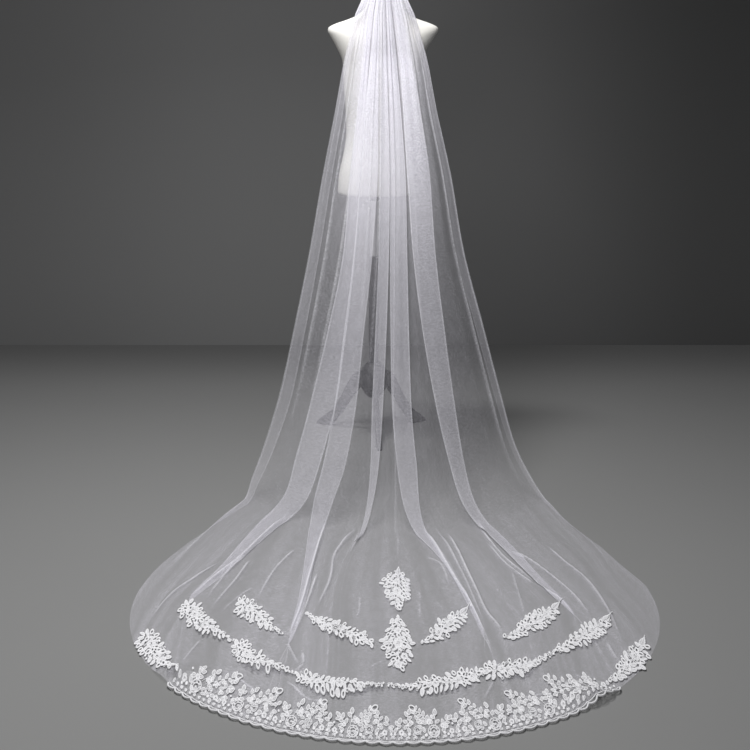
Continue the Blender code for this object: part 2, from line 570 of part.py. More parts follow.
def make_leg(number):
    """One flat curved leg of the tripod, ending in a pointed toe."""
    bm = bmesh.new()
    side = bm.faces.new([bm.verts.new((reach, -LEG_THICK / 2, z)) for reach, z in LEG_UPPER_EDGE + LEG_LOWER_EDGE])
    made = bmesh.ops.extrude_face_region(bm, geom=[side])["geom"]
    far = [v for v in made if isinstance(v, bmesh.types.BMVert)]
    bmesh.ops.translate(bm, verts=far, vec=(0.0, LEG_THICK, 0.0))
    bmesh.ops.recalc_face_normals(bm, faces=bm.faces[:])
    rims = [edge for edge in bm.edges if abs(edge.verts[0].co.y - edge.verts[1].co.y) < SEAM_GAP]
    bmesh.ops.bevel(bm, geom=rims, affect="EDGES", offset=LEG_ROUNDING, segments=1, profile=0.5, material=-1)
    turned = -math.pi / 2 - TRIPOD_TURN - 2 * math.pi * number / 3
    bmesh.ops.rotate(bm, verts=bm.verts[:], cent=(0, 0, 0), matrix=Matrix.Rotation(turned, 3, "Z"))
    add_object(f"stand_leg_{number + 1}", bm, "black", place=(POLE_X, POLE_Y, 0.0))


def make_stand():
    rod("stand_tube", TUBE_RADIUS, HUB_PROFILE[-1][1] + SEAM_GAP, TUBE_TOP, "black")
    rod("stand_pole", POLE_RADIUS, TUBE_TOP + SEAM_GAP, FORM_BOTTOM - COLLAR_HEIGHT - SEAM_GAP, "steel")
    rod("stand_collar", COLLAR_RADIUS, FORM_BOTTOM - COLLAR_HEIGHT, FORM_BOTTOM - SEAM_GAP, "black")
    lathe("stand_hub", HUB_PROFILE, "black", 24, (POLE_X, POLE_Y, 0.0))
    for number in range(3):
        make_leg(number)


def main():
    clear_scene()
    make_tulle()
    for name, spray in SPRAYS.items():
        make_spray(name, spray)
    for number in range(HEM_STRIPS):
        make_hem_strip(number)
    make_comb()
    make_binding()
    make_form()
    make_stand()


main()
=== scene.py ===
import math
import random
from collections import namedtuple

import bmesh
import bpy
import numpy as np
from mathutils import Matrix, Vector


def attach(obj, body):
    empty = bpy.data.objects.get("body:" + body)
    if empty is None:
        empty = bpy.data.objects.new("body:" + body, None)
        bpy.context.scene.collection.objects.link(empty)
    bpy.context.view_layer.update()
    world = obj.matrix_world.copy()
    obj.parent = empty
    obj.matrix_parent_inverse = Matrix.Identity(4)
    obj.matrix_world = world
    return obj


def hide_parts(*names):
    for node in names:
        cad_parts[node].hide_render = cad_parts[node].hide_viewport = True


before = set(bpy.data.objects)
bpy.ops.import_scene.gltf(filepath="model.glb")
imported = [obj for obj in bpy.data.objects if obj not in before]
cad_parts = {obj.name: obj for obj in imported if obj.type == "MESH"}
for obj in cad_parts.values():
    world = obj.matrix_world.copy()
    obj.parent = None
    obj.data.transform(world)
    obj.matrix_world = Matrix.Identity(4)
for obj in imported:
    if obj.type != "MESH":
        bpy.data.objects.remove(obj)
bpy.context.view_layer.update()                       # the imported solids, metres, +Z up, train towards -Y
print("frame loaded:", len(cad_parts), "nodes")

poleX, poleY = -0.0545, 1.0173          # the stand's pole; "behind" counts from it towards -Y
seamGap = 0.0003


# small tools
def smoothStep(value, low=0.0, high=1.0):
    t = np.clip((value - low) / (high - low), 0.0, 1.0)
    return t * t * (3 - 2 * t)


def smoothAt(values, at):
    # smooth value between those of a table's rows, through each of them
    values = np.asarray(values, float)
    low = min(int(at), len(values) - 2)
    t = at - low
    before, start = values[max(low - 1, 0)], values[low]
    end, after = values[low + 1], values[min(low + 2, len(values) - 1)]
    step = end - start
    riseIn, riseOut, steep = (end - before) / 2, (after - start) / 2, 3 * np.abs(step)
    riseIn = np.where(step * riseIn <= 0, 0.0, np.clip(riseIn, -steep, steep))
    riseOut = np.where(step * riseOut <= 0, 0.0, np.clip(riseOut, -steep, steep))
    return ((2 * t**3 - 3 * t**2 + 1) * start + (t**3 - 2 * t**2 + t) * riseIn
            + (3 * t**2 - 2 * t**3) * end + (t**3 - t**2) * riseOut)


def newObject(name, mesh, material):
    piece = bpy.data.objects.new(name, mesh)
    piece.data.materials.clear()
    piece.data.materials.append(material)
    bpy.context.scene.collection.objects.link(piece)
    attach(piece, "root")
    return piece


def meshFrom(bm, name, smooth=True, sharp=None):
    mesh = bpy.data.meshes.new(name)
    bm.to_mesh(mesh)
    bm.free()
    if smooth:
        mesh.shade_smooth()
    if sharp:
        mesh.set_sharp_from_angle(angle=math.radians(sharp))
    return mesh


def bevelled(bm, edges, offset, segments):
    bmesh.ops.bevel(bm, geom=edges, affect="EDGES", offset=offset, segments=segments, profile=0.5,
                    material=-1)


def coordinates(mesh):
    flat = np.empty(len(mesh.vertices) * 3, np.float32)
    mesh.vertices.foreach_get("co", flat)
    return flat.reshape(-1, 3).astype(float)


def setCoordinates(mesh, points):
    mesh.vertices.foreach_set("co", np.asarray(points, np.float32).ravel())
    mesh.update()


# node helpers
def joinUp(tree, socket, value):
    if isinstance(value, bpy.types.NodeSocket):
        tree.links.new(value, socket)
    else:
        socket.default_value = value


def mathNode(tree, operation, *values, limit=False):
    node = tree.nodes.new("ShaderNodeMath")
    node.operation, node.use_clamp = operation, limit
    for socket, value in zip(node.inputs, values):
        joinUp(tree, socket, value)
    return node.outputs[0]


def vectorNode(tree, operation, *values, out=0):
    node = tree.nodes.new("ShaderNodeVectorMath")
    node.operation = operation
    for socket, value in zip(node.inputs, values):
        joinUp(tree, socket, value)
    return node.outputs[out]


def mapNode(tree, value, fromLow, fromHigh, toLow=0.0, toHigh=1.0):
    node = tree.nodes.new("ShaderNodeMapRange")
    node.interpolation_type = "SMOOTHSTEP"
    for socket, given in zip(node.inputs, (value, fromLow, fromHigh, toLow, toHigh)):
        joinUp(tree, socket, given)
    return node.outputs[0]


def noiseNode(tree, vector, scale, detail=3.0, roughness=0.5):
    node = tree.nodes.new("ShaderNodeTexNoise")
    joinUp(tree, node.inputs["Vector"], vector)
    joinUp(tree, node.inputs["Scale"], scale)
    node.inputs["Detail"].default_value = detail
    node.inputs["Roughness"].default_value = roughness
    return node.outputs["Fac"]


def mixColour(tree, factor, first, second):
    node = tree.nodes.new("ShaderNodeMix")
    node.data_type = "RGBA"
    joinUp(tree, node.inputs[0], factor)
    joinUp(tree, node.inputs[6], first)
    joinUp(tree, node.inputs[7], second)
    return node.outputs[2]


def multiplied(tree, first, *others):
    for value in others:
        first = mathNode(tree, "MULTIPLY", first, value)
    return first


def blended(tree, first, second, share):
    # so much of the first, and the rest of the second
    return mathNode(tree, "ADD", mathNode(tree, "MULTIPLY", first, share),
                    mathNode(tree, "MULTIPLY", second, 1 - share))


def bumpNode(tree, height, strength, distance):
    node = tree.nodes.new("ShaderNodeBump")
    node.inputs["Strength"].default_value = strength
    node.inputs["Distance"].default_value = distance
    tree.links.new(height, node.inputs["Height"])
    return node.outputs["Normal"]


def attributeNode(tree, name):
    node = tree.nodes.new("ShaderNodeAttribute")
    node.attribute_name = name
    return node.outputs["Fac"]


def objectPlace(tree):
    return tree.nodes.new("ShaderNodeTexCoord").outputs["Object"]


def mapped(tree, vector, scale=(1, 1, 1), turn=(0, 0, 0)):
    node = tree.nodes.new("ShaderNodeMapping")
    joinUp(tree, node.inputs["Vector"], vector)
    node.inputs["Scale"].default_value = scale
    node.inputs["Rotation"].default_value = [math.radians(a) for a in turn]
    return node.outputs[0]


def newGroup(name, inputs, outputs):
    # every group takes a Vector and some values, and puts out values
    group = bpy.data.node_groups.new(name, "ShaderNodeTree")
    group.interface.new_socket(name="Vector", in_out="INPUT", socket_type="NodeSocketVector")
    for label, value in inputs.items():
        socket = group.interface.new_socket(name=label, in_out="INPUT", socket_type="NodeSocketFloat")
        socket.default_value = value
    for label in outputs:
        group.interface.new_socket(name=label, in_out="OUTPUT", socket_type="NodeSocketFloat")
    return group, group.nodes.new("NodeGroupInput"), group.nodes.new("NodeGroupOutput")


def useGroup(tree, group, **values):
    node = tree.nodes.new("ShaderNodeGroup")
    node.node_tree = group
    for label, value in values.items():
        joinUp(tree, node.inputs[label], value)
    return node


def newMaterial(name, colour, roughness, metallic=0.0, **constants):
    material = bpy.data.materials.new(name)
    material.use_nodes = True
    shader = material.node_tree.nodes["Principled BSDF"]
    shader.inputs["Base Color"].default_value = (*colour, 1.0)
    shader.inputs["Roughness"].default_value = roughness
    shader.inputs["Metallic"].default_value = metallic
    for label, value in constants.items():
        shader.inputs[label.replace("_", " ")].default_value = value
    return material, material.node_tree, shader


def colourBetween(tree, shader, mask, first, second):
    tree.links.new(mixColour(tree, mask, (*first, 1), (*second, 1)), shader.inputs["Base Color"])


def handledGloss(tree, shader, roughness, amount):
    # roughness with handling marks; the node also gives their mask
    wear = useGroup(tree, fineWear, Vector=objectPlace(tree), Roughness=roughness, Amount=amount)
    tree.links.new(wear.outputs["Roughness"], shader.inputs["Roughness"])
    return wear


# shared effects
def makeNetCells():
    # six-sided net: 1 on its threads, 0 in its holes; Cell is in the vector's own units
    tree, given, out = newGroup("netCells", {"Cell": 0.0016, "Thread": 0.10}, ("Mask",))
    repeat, half = (1.0, math.sqrt(3.0), 1.0), (0.5, math.sqrt(3.0) / 2, 0.0)
    scale = mathNode(tree, "DIVIDE", 1.0, given.outputs["Cell"])
    flat = vectorNode(tree, "MULTIPLY", given.outputs["Vector"], (1.0, 1.0, 0.0))
    node = tree.nodes.new("ShaderNodeVectorMath")
    node.operation = "SCALE"
    tree.links.new(flat, node.inputs[0])
    tree.links.new(scale, node.inputs["Scale"])
    place = vectorNode(tree, "ADD", node.outputs[0], (2048.0, 2048.0 * math.sqrt(3.0), 0.0))
    first = vectorNode(tree, "SUBTRACT", vectorNode(tree, "MODULO", place, repeat), half)
    moved = vectorNode(tree, "ADD", place, half)
    second = vectorNode(tree, "SUBTRACT", vectorNode(tree, "MODULO", moved, repeat), half)
    nearer = mathNode(tree, "LESS_THAN", vectorNode(tree, "LENGTH", first, out=1),
                      vectorNode(tree, "LENGTH", second, out=1))
    pick = tree.nodes.new("ShaderNodeMix")
    pick.data_type = "VECTOR"
    tree.links.new(nearer, pick.inputs[0])
    tree.links.new(second, pick.inputs[4])
    tree.links.new(first, pick.inputs[5])
    inside = vectorNode(tree, "ABSOLUTE", pick.outputs[1])
    slanted = vectorNode(tree, "DOT_PRODUCT", inside, half, out=1)
    across = tree.nodes.new("ShaderNodeSeparateXYZ")
    tree.links.new(inside, across.inputs[0])
    edge = mathNode(tree, "MAXIMUM", slanted, across.outputs[0])
    start = mathNode(tree, "SUBTRACT", 0.5, given.outputs["Thread"])
    tree.links.new(mapNode(tree, edge, start, 0.5), out.inputs["Mask"])
    return tree


def makeThreadTwist():
    # slanting plies of a twisted thread, with loose fibres; Shade is painted shade, darker in the grooves
    # between the plies
    tree, given, out = newGroup("threadTwist", {"Plies": 1500.0}, ("Height", "Shade"))
    wave = tree.nodes.new("ShaderNodeTexWave")
    wave.wave_type, wave.bands_direction = "BANDS", "DIAGONAL"
    tree.links.new(given.outputs["Vector"], wave.inputs["Vector"])
    tree.links.new(given.outputs["Plies"], wave.inputs["Scale"])
    wave.inputs["Distortion"].default_value = 2.0
    finer = mathNode(tree, "MULTIPLY", given.outputs["Plies"], 1.6)
    fibres = noiseNode(tree, given.outputs["Vector"], finer)
    height = blended(tree, wave.outputs["Fac"], fibres, 0.7)
    tree.links.new(height, out.inputs["Height"])
    tree.links.new(mapNode(tree, height, 0.15, 0.75, 0.86, 1.0), out.inputs["Shade"])
    return tree


def makeFineWear():
    # handling marks: soft smears and fine scratches that change the gloss
    tree, given, out = newGroup("fineWear", {"Roughness": 0.4, "Amount": 0.15}, ("Roughness", "Mask"))
    smears = noiseNode(tree, given.outputs["Vector"], 28.0, 4.0, 0.6)
    scratches = noiseNode(tree, mapped(tree, given.outputs["Vector"], (900, 900, 30), (8, 5, 0)), 1.0, 2.0)
    mask = blended(tree, smears, scratches, 0.7)
    centred = mathNode(tree, "MULTIPLY", mathNode(tree, "SUBTRACT", mask, 0.5), given.outputs["Amount"])
    gloss = mathNode(tree, "MULTIPLY_ADD", centred, 4.0, given.outputs["Roughness"], limit=True)
    tree.links.new(gloss, out.inputs["Roughness"])
    tree.links.new(mask, out.inputs["Mask"])
    return tree


netCells, threadTwist, fineWear = makeNetCells(), makeThreadTwist(), makeFineWear()

# finishes
finish = {
    "tulleColour": (0.875, 0.857, 0.93),
    "laceColour": (0.82, 0.815, 0.835),
    # painted shade for the lace's netted fill and the grooves of its cord
    "laceShade": (0.64, 0.635, 0.66),
    "jerseyColour": (0.89, 0.875, 0.84),
    "jerseyWarm": (0.84, 0.82, 0.775),
    "netCell": 0.0016,                  # metres of flat cloth
    "laceCell": 0.0020,
    "creaseCover": 0.26,                # more thread where the cloth turns edge on
    "ridgeCover": 0.32,                 # thread on a ridge's crest, and how dark the painted shade on its lee side is
    "ridgeShade": 0.50,
    "streaks": 0.24,                    # how much the thread thins and thickens between gathers
}


def makeTulle():
    material, tree, shader = newMaterial("tulle", finish["tulleColour"], 0.62, Sheen_Weight=0.35,
                                         Sheen_Roughness=0.5, Specular_IOR_Level=0.25)
    cloth = tree.nodes.new("ShaderNodeUVMap")
    cloth.uv_map = "cloth"
    net = useGroup(tree, netCells, Vector=cloth.outputs[0], Cell=finish["netCell"], Thread=0.13)
    weave = mathNode(tree, "MULTIPLY_ADD", net.outputs["Mask"], 0.9, 0.72)
    along = mapped(tree, cloth.outputs[0], (1.0, 0.35, 1.0))
    clouds = mapNode(tree, noiseNode(tree, along, 70.0, 3.0), 0.3, 0.7, 0.9, 1.1)
    mottle = mapNode(tree, noiseNode(tree, cloth.outputs[0], 190.0, 2.0), 0.3, 0.7, 0.72, 1.28)
    drawnOut = mapped(tree, cloth.outputs[0], (1.0, 0.02, 1.0))
    lengthwise = mapNode(tree, noiseNode(tree, drawnOut, 26.0, 4.0, 0.6), 0.3, 0.7, -1.0, 1.0)
    gathers = mathNode(tree, "MULTIPLY", attributeNode(tree, "streak"), finish["streaks"])
    streaks = mathNode(tree, "MULTIPLY_ADD", lengthwise, gathers, 1.0)
    # a ridge's crest: a narrow dense line, with painted shade on its lee side
    side, light = attributeNode(tree, "ridgeSide"), attributeNode(tree, "ridgeLight")
    away = mathNode(tree, "ABSOLUTE", side)
    crest = mathNode(tree, "MULTIPLY", mapNode(tree, away, 0.0008, 0.0058, 1.0, 0.0), light)
    leeFrom = mapNode(tree, side, -0.009, -0.003)
    leeTo = mapNode(tree, side, -0.002, 0.0, 1.0, 0.0)
    shaded = multiplied(tree, leeFrom, leeTo, light, finish["ridgeShade"])
    crease = mathNode(tree, "MULTIPLY", attributeNode(tree, "crease"), finish["creaseCover"])
    cover = mathNode(tree, "ADD", attributeNode(tree, "cover"), crease)
    cover = multiplied(tree, cover, weave, clouds, mottle, streaks)
    thread = mathNode(tree, "MULTIPLY_ADD", crest, finish["ridgeCover"], cover, limit=True)
    tree.links.new(thread, shader.inputs["Alpha"])
    # painted highlight: the colour turns paler along creases, fold turns, the free edges and the ridge
    # crests
    creaseHighlight = mapNode(tree, attributeNode(tree, "crease"), 0.0, 1.0, 0.0, 0.6)
    pale = mixColour(tree, creaseHighlight, (*finish["tulleColour"], 1), (0.94, 0.94, 0.98, 1))
    # painted shade: the lee side of each ridge is mixed towards near black
    tree.links.new(mixColour(tree, shaded, pale, (0.05, 0.05, 0.06, 1)), shader.inputs["Base Color"])
    return material


def makeLace():
    material, tree, shader = newMaterial("corded lace", finish["laceColour"], 0.60, Sheen_Weight=0.15,
                                         Sheen_Roughness=0.4, Specular_IOR_Level=0.25)
    place = objectPlace(tree)
    open_ = attributeNode(tree, "open")
    net = useGroup(tree, netCells, Vector=place, Cell=finish["laceCell"], Thread=0.10)
    holes = mathNode(tree, "MULTIPLY", open_, mathNode(tree, "SUBTRACT", 1.0, net.outputs["Mask"]))
    tree.links.new(mathNode(tree, "SUBTRACT", 1.0, holes, limit=True), shader.inputs["Alpha"])
    twist = useGroup(tree, threadTwist, Vector=place, Plies=520.0)
    # painted shade: the netted fill and the grooves between the cord's plies are mixed towards laceShade
    netted = mathNode(tree, "MULTIPLY", open_, 0.8)
    dark, pale = (*finish["laceShade"], 1), (*finish["laceColour"], 1)
    cord = mixColour(tree, twist.outputs["Shade"], dark, pale)
    tree.links.new(mixColour(tree, netted, cord, dark), shader.inputs["Base Color"])
    tree.links.new(bumpNode(tree, twist.outputs["Height"], 0.35, 0.0005), shader.inputs["Normal"])
    return material


def makeJersey():
    material, tree, shader = newMaterial("ivory jersey", finish["jerseyColour"], 0.85, Sheen_Weight=0.05,
                                         Sheen_Roughness=0.5, Specular_IOR_Level=0.2)
    place = objectPlace(tree)
    wales = tree.nodes.new("ShaderNodeTexWave")
    wales.bands_direction = "X"
    tree.links.new(place, wales.inputs["Vector"])
    wales.inputs["Scale"].default_value = 230.0
    wales.inputs["Distortion"].default_value = 0.6
    courses = tree.nodes.new("ShaderNodeTexWave")
    courses.bands_direction = "Z"
    tree.links.new(place, courses.inputs["Vector"])
    courses.inputs["Scale"].default_value = 330.0
    knit = blended(tree, wales.outputs["Fac"], courses.outputs["Fac"], 0.6)
    cloudy = noiseNode(tree, place, 14.0, 4.0, 0.6)
    faded = mapNode(tree, cloudy, 0.3, 0.65)
    colourBetween(tree, shader, faded, finish["jerseyWarm"], finish["jerseyColour"])
    tree.links.new(mapNode(tree, cloudy, 0.3, 0.7, 0.8, 0.92), shader.inputs["Roughness"])
    tree.links.new(bumpNode(tree, knit, 0.3, 0.0005), shader.inputs["Normal"])
    return material


def makeSatin():
    material, tree, shader = newMaterial("satin ribbon", (0.92, 0.92, 0.94), 0.34, Sheen_Weight=0.4,
                                         Anisotropic=0.5, Specular_IOR_Level=0.5)
    place = objectPlace(tree)
    ribs = noiseNode(tree, mapped(tree, place, (180, 180, 2600)), 1.0, 2.0)
    colourBetween(tree, shader, ribs, (0.84, 0.84, 0.88), (0.95, 0.95, 0.96))
    tree.links.new(mapNode(tree, ribs, 0.3, 0.7, 0.28, 0.42), shader.inputs["Roughness"])
    tree.links.new(bumpNode(tree, ribs, 0.25, 0.0003), shader.inputs["Normal"])
    return material


def makeComb():
    material, tree, shader = newMaterial("clear comb plastic", (0.86, 0.87, 0.89), 0.22,
                                         Specular_IOR_Level=0.6)
    wear = handledGloss(tree, shader, 0.22, 0.12)
    colourBetween(tree, shader, wear.outputs["Mask"], (0.80, 0.81, 0.84), (0.90, 0.91, 0.93))
    return material


def makeChrome():
    material, tree, shader = newMaterial("polished pole", (0.80, 0.80, 0.81), 0.42, 0.7)
    wear = handledGloss(tree, shader, 0.42, 0.10)
    colourBetween(tree, shader, wear.outputs["Mask"], (0.74, 0.74, 0.76), (0.86, 0.86, 0.87))
    return material


def makeBlack():
    material, tree, shader = newMaterial("black enamel", (0.012, 0.012, 0.013), 0.46,
                                         Specular_IOR_Level=0.3, Coat_Weight=0.1, Coat_Roughness=0.3)
    wear = handledGloss(tree, shader, 0.46, 0.14)
    dust = mapNode(tree, wear.outputs["Mask"], 0.45, 0.75)
    colourBetween(tree, shader, dust, (0.010, 0.010, 0.011), (0.028, 0.028, 0.030))
    orangePeel = noiseNode(tree, objectPlace(tree), 900.0, 2.0)
    tree.links.new(bumpNode(tree, orangePeel, 0.12, 0.0003), shader.inputs["Normal"])
    return material


tulleFinish, laceFinish, jerseyFinish = makeTulle(), makeLace(), makeJersey()
satinFinish, combFinish, chromeFinish, blackFinish = makeSatin(), makeComb(), makeChrome(), makeBlack()
print("finishes made")

# the veil's cross rows, from the comb down to the floor and out along the train
# side, middle: behind the pole; left, right: across; under: cloth turned under at the edge;
# cover: share of the row that its thread fills
Row = namedtuple("Row", "z side middle left right power bend tilt gather layer underL underR cover")
stations = (
    Row(1.553, 0.004, 0.0632, -0.0847, 0.0417, 2.00, 0.50, 0, 0.0018, 0.0016, 0.008, 0.008, 0.92),
    Row(1.506, 0.036, 0.0760, -0.093, 0.056, 2.00, 0.60, 3, 0.0030, 0.0022, 0.010, 0.010, 0.88),
    Row(1.454, 0.050, 0.0860, -0.116, 0.081, 2.20, 0.80, 8, 0.0038, 0.0028, 0.014, 0.014, 0.82),
    Row(1.380, 0.078, 0.1040, -0.134, 0.103, 2.20, 1.00, 15, 0.0045, 0.0034, 0.018, 0.018, 0.70),
    Row(1.300, 0.112, 0.1260, -0.154, 0.125, 2.40, 1.00, 22, 0.0050, 0.0040, 0.020, 0.020, 0.60),
    Row(1.150, 0.172, 0.2050, -0.181, 0.153, 2.40, 1.00, 30, 0.0050, 0.0045, 0.026, 0.026, 0.42),
    Row(0.950, 0.250, 0.3250, -0.220, 0.197, 2.40, 1.00, 32, 0.0055, 0.0056, 0.030, 0.028, 0.30),
    Row(0.720, 0.345, 0.4650, -0.260, 0.236, 2.40, 1.00, 33, 0.0060, 0.0064, 0.032, 0.026, 0.185),
    Row(0.500, 0.435, 0.5950, -0.305, 0.294, 2.40, 1.00, 34, 0.0060, 0.0070, 0.035, 0.024, 0.145),
    Row(0.300, 0.520, 0.7250, -0.350, 0.347, 2.40, 1.00, 37, 0.0052, 0.0070, 0.038, 0.020, 0.13),
    Row(0.150, 0.597, 0.8370, -0.397, 0.390, 2.40, 1.00, 43, 0.0038, 0.0068, 0.032, 0.014, 0.13),
    Row(0.055, 0.658, 0.9260, -0.435, 0.440, 2.40, 1.00, 54, 0.0022, 0.0060, 0.024, 0.012, 0.15),
    Row(0.000, 0.720, 1.0100, -0.460, 0.485, 2.50, 1.00, 84, 0.0000, 0.0050, 0.016, 0.009, 0.185),
    Row(0.000, 0.870, 1.2000, -0.518, 0.522, 2.40, 0.85, 90, 0.0000, 0.0035, 0.008, 0.006, 0.21),
    Row(0.000, 1.050, 1.4500, -0.583, 0.582, 2.25, 0.75, 90, 0.0000, 0.0025, 0.000, 0.002, 0.222),
    Row(0.000, 1.220, 1.6800, -0.642, 0.629, 2.15, 0.65, 90, 0.0000, 0.0000, -0.010, -0.010, 0.222),
    Row(0.000, 1.360, 1.9200, -0.670, 0.671, 2.05, 0.55, 90, 0.0000, 0.0000, -0.010, -0.010, 0.222),
    Row(0.000, 1.450, 2.1580, -0.676, 0.675, 2.00, 0.50, 90, 0.0000, 0.0000, -0.010, -0.010, 0.222),
)
# the five deep folds, three layers each; rise +1 where the right side lies over the left;
# past where a fold ends its overlap is negative: the width of cloth that it opens out to
Fold = namedtuple("Fold", "rise centre overlap")
folds = (
    Fold(1, (-0.0510, -0.0545, -0.0650, -0.0720, -0.0810, -0.0940, -0.1120, -0.1300, -0.1660,
             -0.2060, -0.2500, -0.2850, -0.3400, -0.4000, -0.4620, -0.5300, -0.5400, -0.5400),
         (0.005, 0.008, 0.012, 0.016, 0.020, 0.027, 0.034, 0.037, 0.055,
          0.075, 0.074, 0.065, 0.056, 0.042, 0.026, 0.008, -0.045, -0.060)),
    Fold(1, (-0.0375, -0.0385, -0.0440, -0.0470, -0.0520, -0.0600, -0.0675, -0.0845, -0.1100,
             -0.1345, -0.1660, -0.2000, -0.2220, -0.2300, -0.2370, -0.2530, -0.2750, -0.2900),
         (0.006, 0.010, 0.016, 0.022, 0.028, 0.042, 0.055, 0.055, 0.057,
          0.061, 0.063, 0.054, 0.042, 0.030, 0.021, 0.012, -0.020, -0.050)),
    Fold(-1, (-0.0230, -0.0215, -0.0205, -0.0195, -0.0190, -0.0180, -0.0180, -0.0225, -0.0315,
              -0.0420, -0.0510, -0.0665, -0.0890, -0.1300, -0.1500, -0.1500, -0.1500, -0.1500),
         (0.004, 0.007, 0.010, 0.013, 0.016, 0.024, 0.032, 0.033, 0.035,
          0.034, 0.026, 0.018, 0.012, -0.016, -0.026, -0.032, -0.034, -0.034)),
    Fold(-1, (-0.0105, -0.0050, -0.0010, 0.0040, 0.0090, 0.0160, 0.0230, 0.0240, 0.0265,
              0.0315, 0.0455, 0.0590, 0.0870, 0.1410, 0.1850, 0.2150, 0.2250, 0.2300),
         (0.006, 0.010, 0.015, 0.020, 0.026, 0.038, 0.050, 0.054, 0.057,
          0.059, 0.059, 0.046, 0.031, 0.016, 0.010, 0.007, -0.040, -0.055)),
    Fold(1, (0.0090, 0.0180, 0.0290, 0.0410, 0.0530, 0.0700, 0.0895, 0.1050, 0.1320,
             0.1640, 0.1950, 0.2260, 0.2740, 0.3280, 0.3880, 0.4500, 0.4700, 0.4800),
         (0.007, 0.012, 0.020, 0.030, 0.040, 0.058, 0.075, 0.074, 0.072,
          0.062, 0.049, 0.042, 0.036, 0.030, 0.022, 0.008, -0.045, -0.058)),
)
veil = {
    "netLift": 0.0007,                  # the net above the floor
    "ripple": 0.0007,                   # fine unevenness of the train
    "ridgeReach": 0.03,                 # nothing of a ridge shows further off than this
    "noRidge": 0.02,                    # how far off the nearest crest is taken to be where there is none
    "turnDepth": 0.6,
    "foldFade": 0.015,
    "flatOverlap": -0.010,
    "settleWidth": 0.060,
    "edgeStep": math.radians(16.0 / 9),
    "edgeColumns": 10,
    "turnColumns": 5,
    "middleColumns": 8,
    "panelColumns": (48, 39, 38, 58, 66, 61),
    "pitch": 0.00325,                   # flat cloth between two columns
    "waveLengths": ((0.0262, 0.0181), (0.052, 0.0331), (0.118, 0.0585)),
    "hungRows": 100,
    "trainRows": 136,
    "flat": (1.37, 3.0),
    "flatArea": 3.45,
}
# narrow pleats: panel, place in the panel at its top and at its end, first and last station,
# height, width in columns
pleats = (
    (5, 0.60, 0.69, 2.5, 11.5, 0.0065, 1.3), (5, 0.30, 0.36, 0.0, 7.0, 0.0030, 1.6),
    (5, 0.86, 0.88, 0.0, 6.5, 0.0030, 1.6), (0, 0.60, 0.46, 2.0, 10.0, 0.0060, 1.3),
    (0, 0.95, 0.65, 3.5, 9.5, 0.0060, 1.3), (0, 0.25, 0.20, 0.0, 7.5, 0.0030, 1.6),
    (1, 0.45, 0.55, 0.0, 8.0, 0.0030, 1.5), (2, 0.30, 0.35, 0.0, 8.5, 0.0030, 1.5),
    (2, 0.70, 0.68, 0.5, 9.5, 0.0035, 1.5), (3, 0.30, 0.34, 0.0, 7.5, 0.0028, 1.8),
    (3, 0.58, 0.52, 2.0, 13.5, 0.0030, 1.6), (4, 0.28, 0.30, 0.0, 8.0, 0.0030, 1.8),
    (4, 0.62, 0.58, 0.0, 9.0, 0.0026, 1.8),
)


def rowAt(at):
    return Row(*smoothAt(stations, at))


def rowBow(row, x):
    half = (row.right - row.left) / 2
    u = np.clip((x - (row.left + row.right) / 2) / half, -1.0, 1.0)
    return row.side + (row.middle - row.side) * (1 - np.abs(u) ** row.power) ** row.bend


def rowPoints(row, x, out):
    step = (row.right - row.left) * 0.004
    low, high = np.maximum(x - step, row.left + step), np.minimum(x + step, row.right - step)
    span = np.where(high > low, high - low, 1.0)
    slope = np.where(high > low, (rowBow(row, high) - rowBow(row, low)) / span, 0.0)
    tilt = math.radians(row.tilt)
    level = math.cos(tilt) * out / np.hypot(1.0, slope)
    behind = rowBow(row, x) + level
    height = row.z + veil["netLift"] + math.sin(tilt) * out
    return np.stack([x - slope * level, poleY - behind, height + 0 * x], axis=1)


def foldLayer(fold, at, row):
    share = (smoothAt(fold.overlap, at) - veil["flatOverlap"]) / veil["foldFade"]
    return fold.rise * row.layer * float(np.clip(share, 0.0, 1.0))


def foldColumns(fold, at, row, start):
    # x, level and crease of a fold's columns: round turn, middle layer, round turn
    centre, overlap = float(smoothAt(fold.centre, at)), float(smoothAt(fold.overlap, at))
    layer = foldLayer(fold, at, row)
    folded = float(smoothStep(overlap, -0.012, 0.010))
    lap = max(overlap, 0.0) / 2
    turn = min(veil["turnDepth"] * abs(layer), lap * 0.9)
    angle = np.linspace(-math.pi / 2, math.pi / 2, veil["turnColumns"])
    middle = np.linspace(lap - turn, turn - lap, veil["middleColumns"] + 2)[1:-1]
    first = lap - turn + turn * np.cos(angle)
    shut = np.concatenate([first, middle, -first])
    count = len(shut)
    opened = np.linspace(-1, 1, count) * max(-overlap / 2, 0.010)
    n = np.concatenate([0.5 + 0.5 * np.sin(angle), np.ones(len(middle)), 1.5 + 0.5 * np.sin(angle)])
    edge = np.cos(angle) ** 0.7 if turn > 0 else np.cos(angle)
    crease = np.concatenate([edge, np.zeros(len(middle)), edge])
    hanging = 1 - float(smoothStep(at, 11.0, 13.0))
    between = np.concatenate([np.zeros(len(angle)), np.ones(len(middle)), np.zeros(len(angle))])
    crease = np.maximum(crease * (0.25 + 0.75 * folded), 0.17 * folded * hanging)
    crease -= 0.45 * folded * (1 - hanging) * between
    return centre + folded * shut + (1 - folded) * opened, start + n * layer, crease


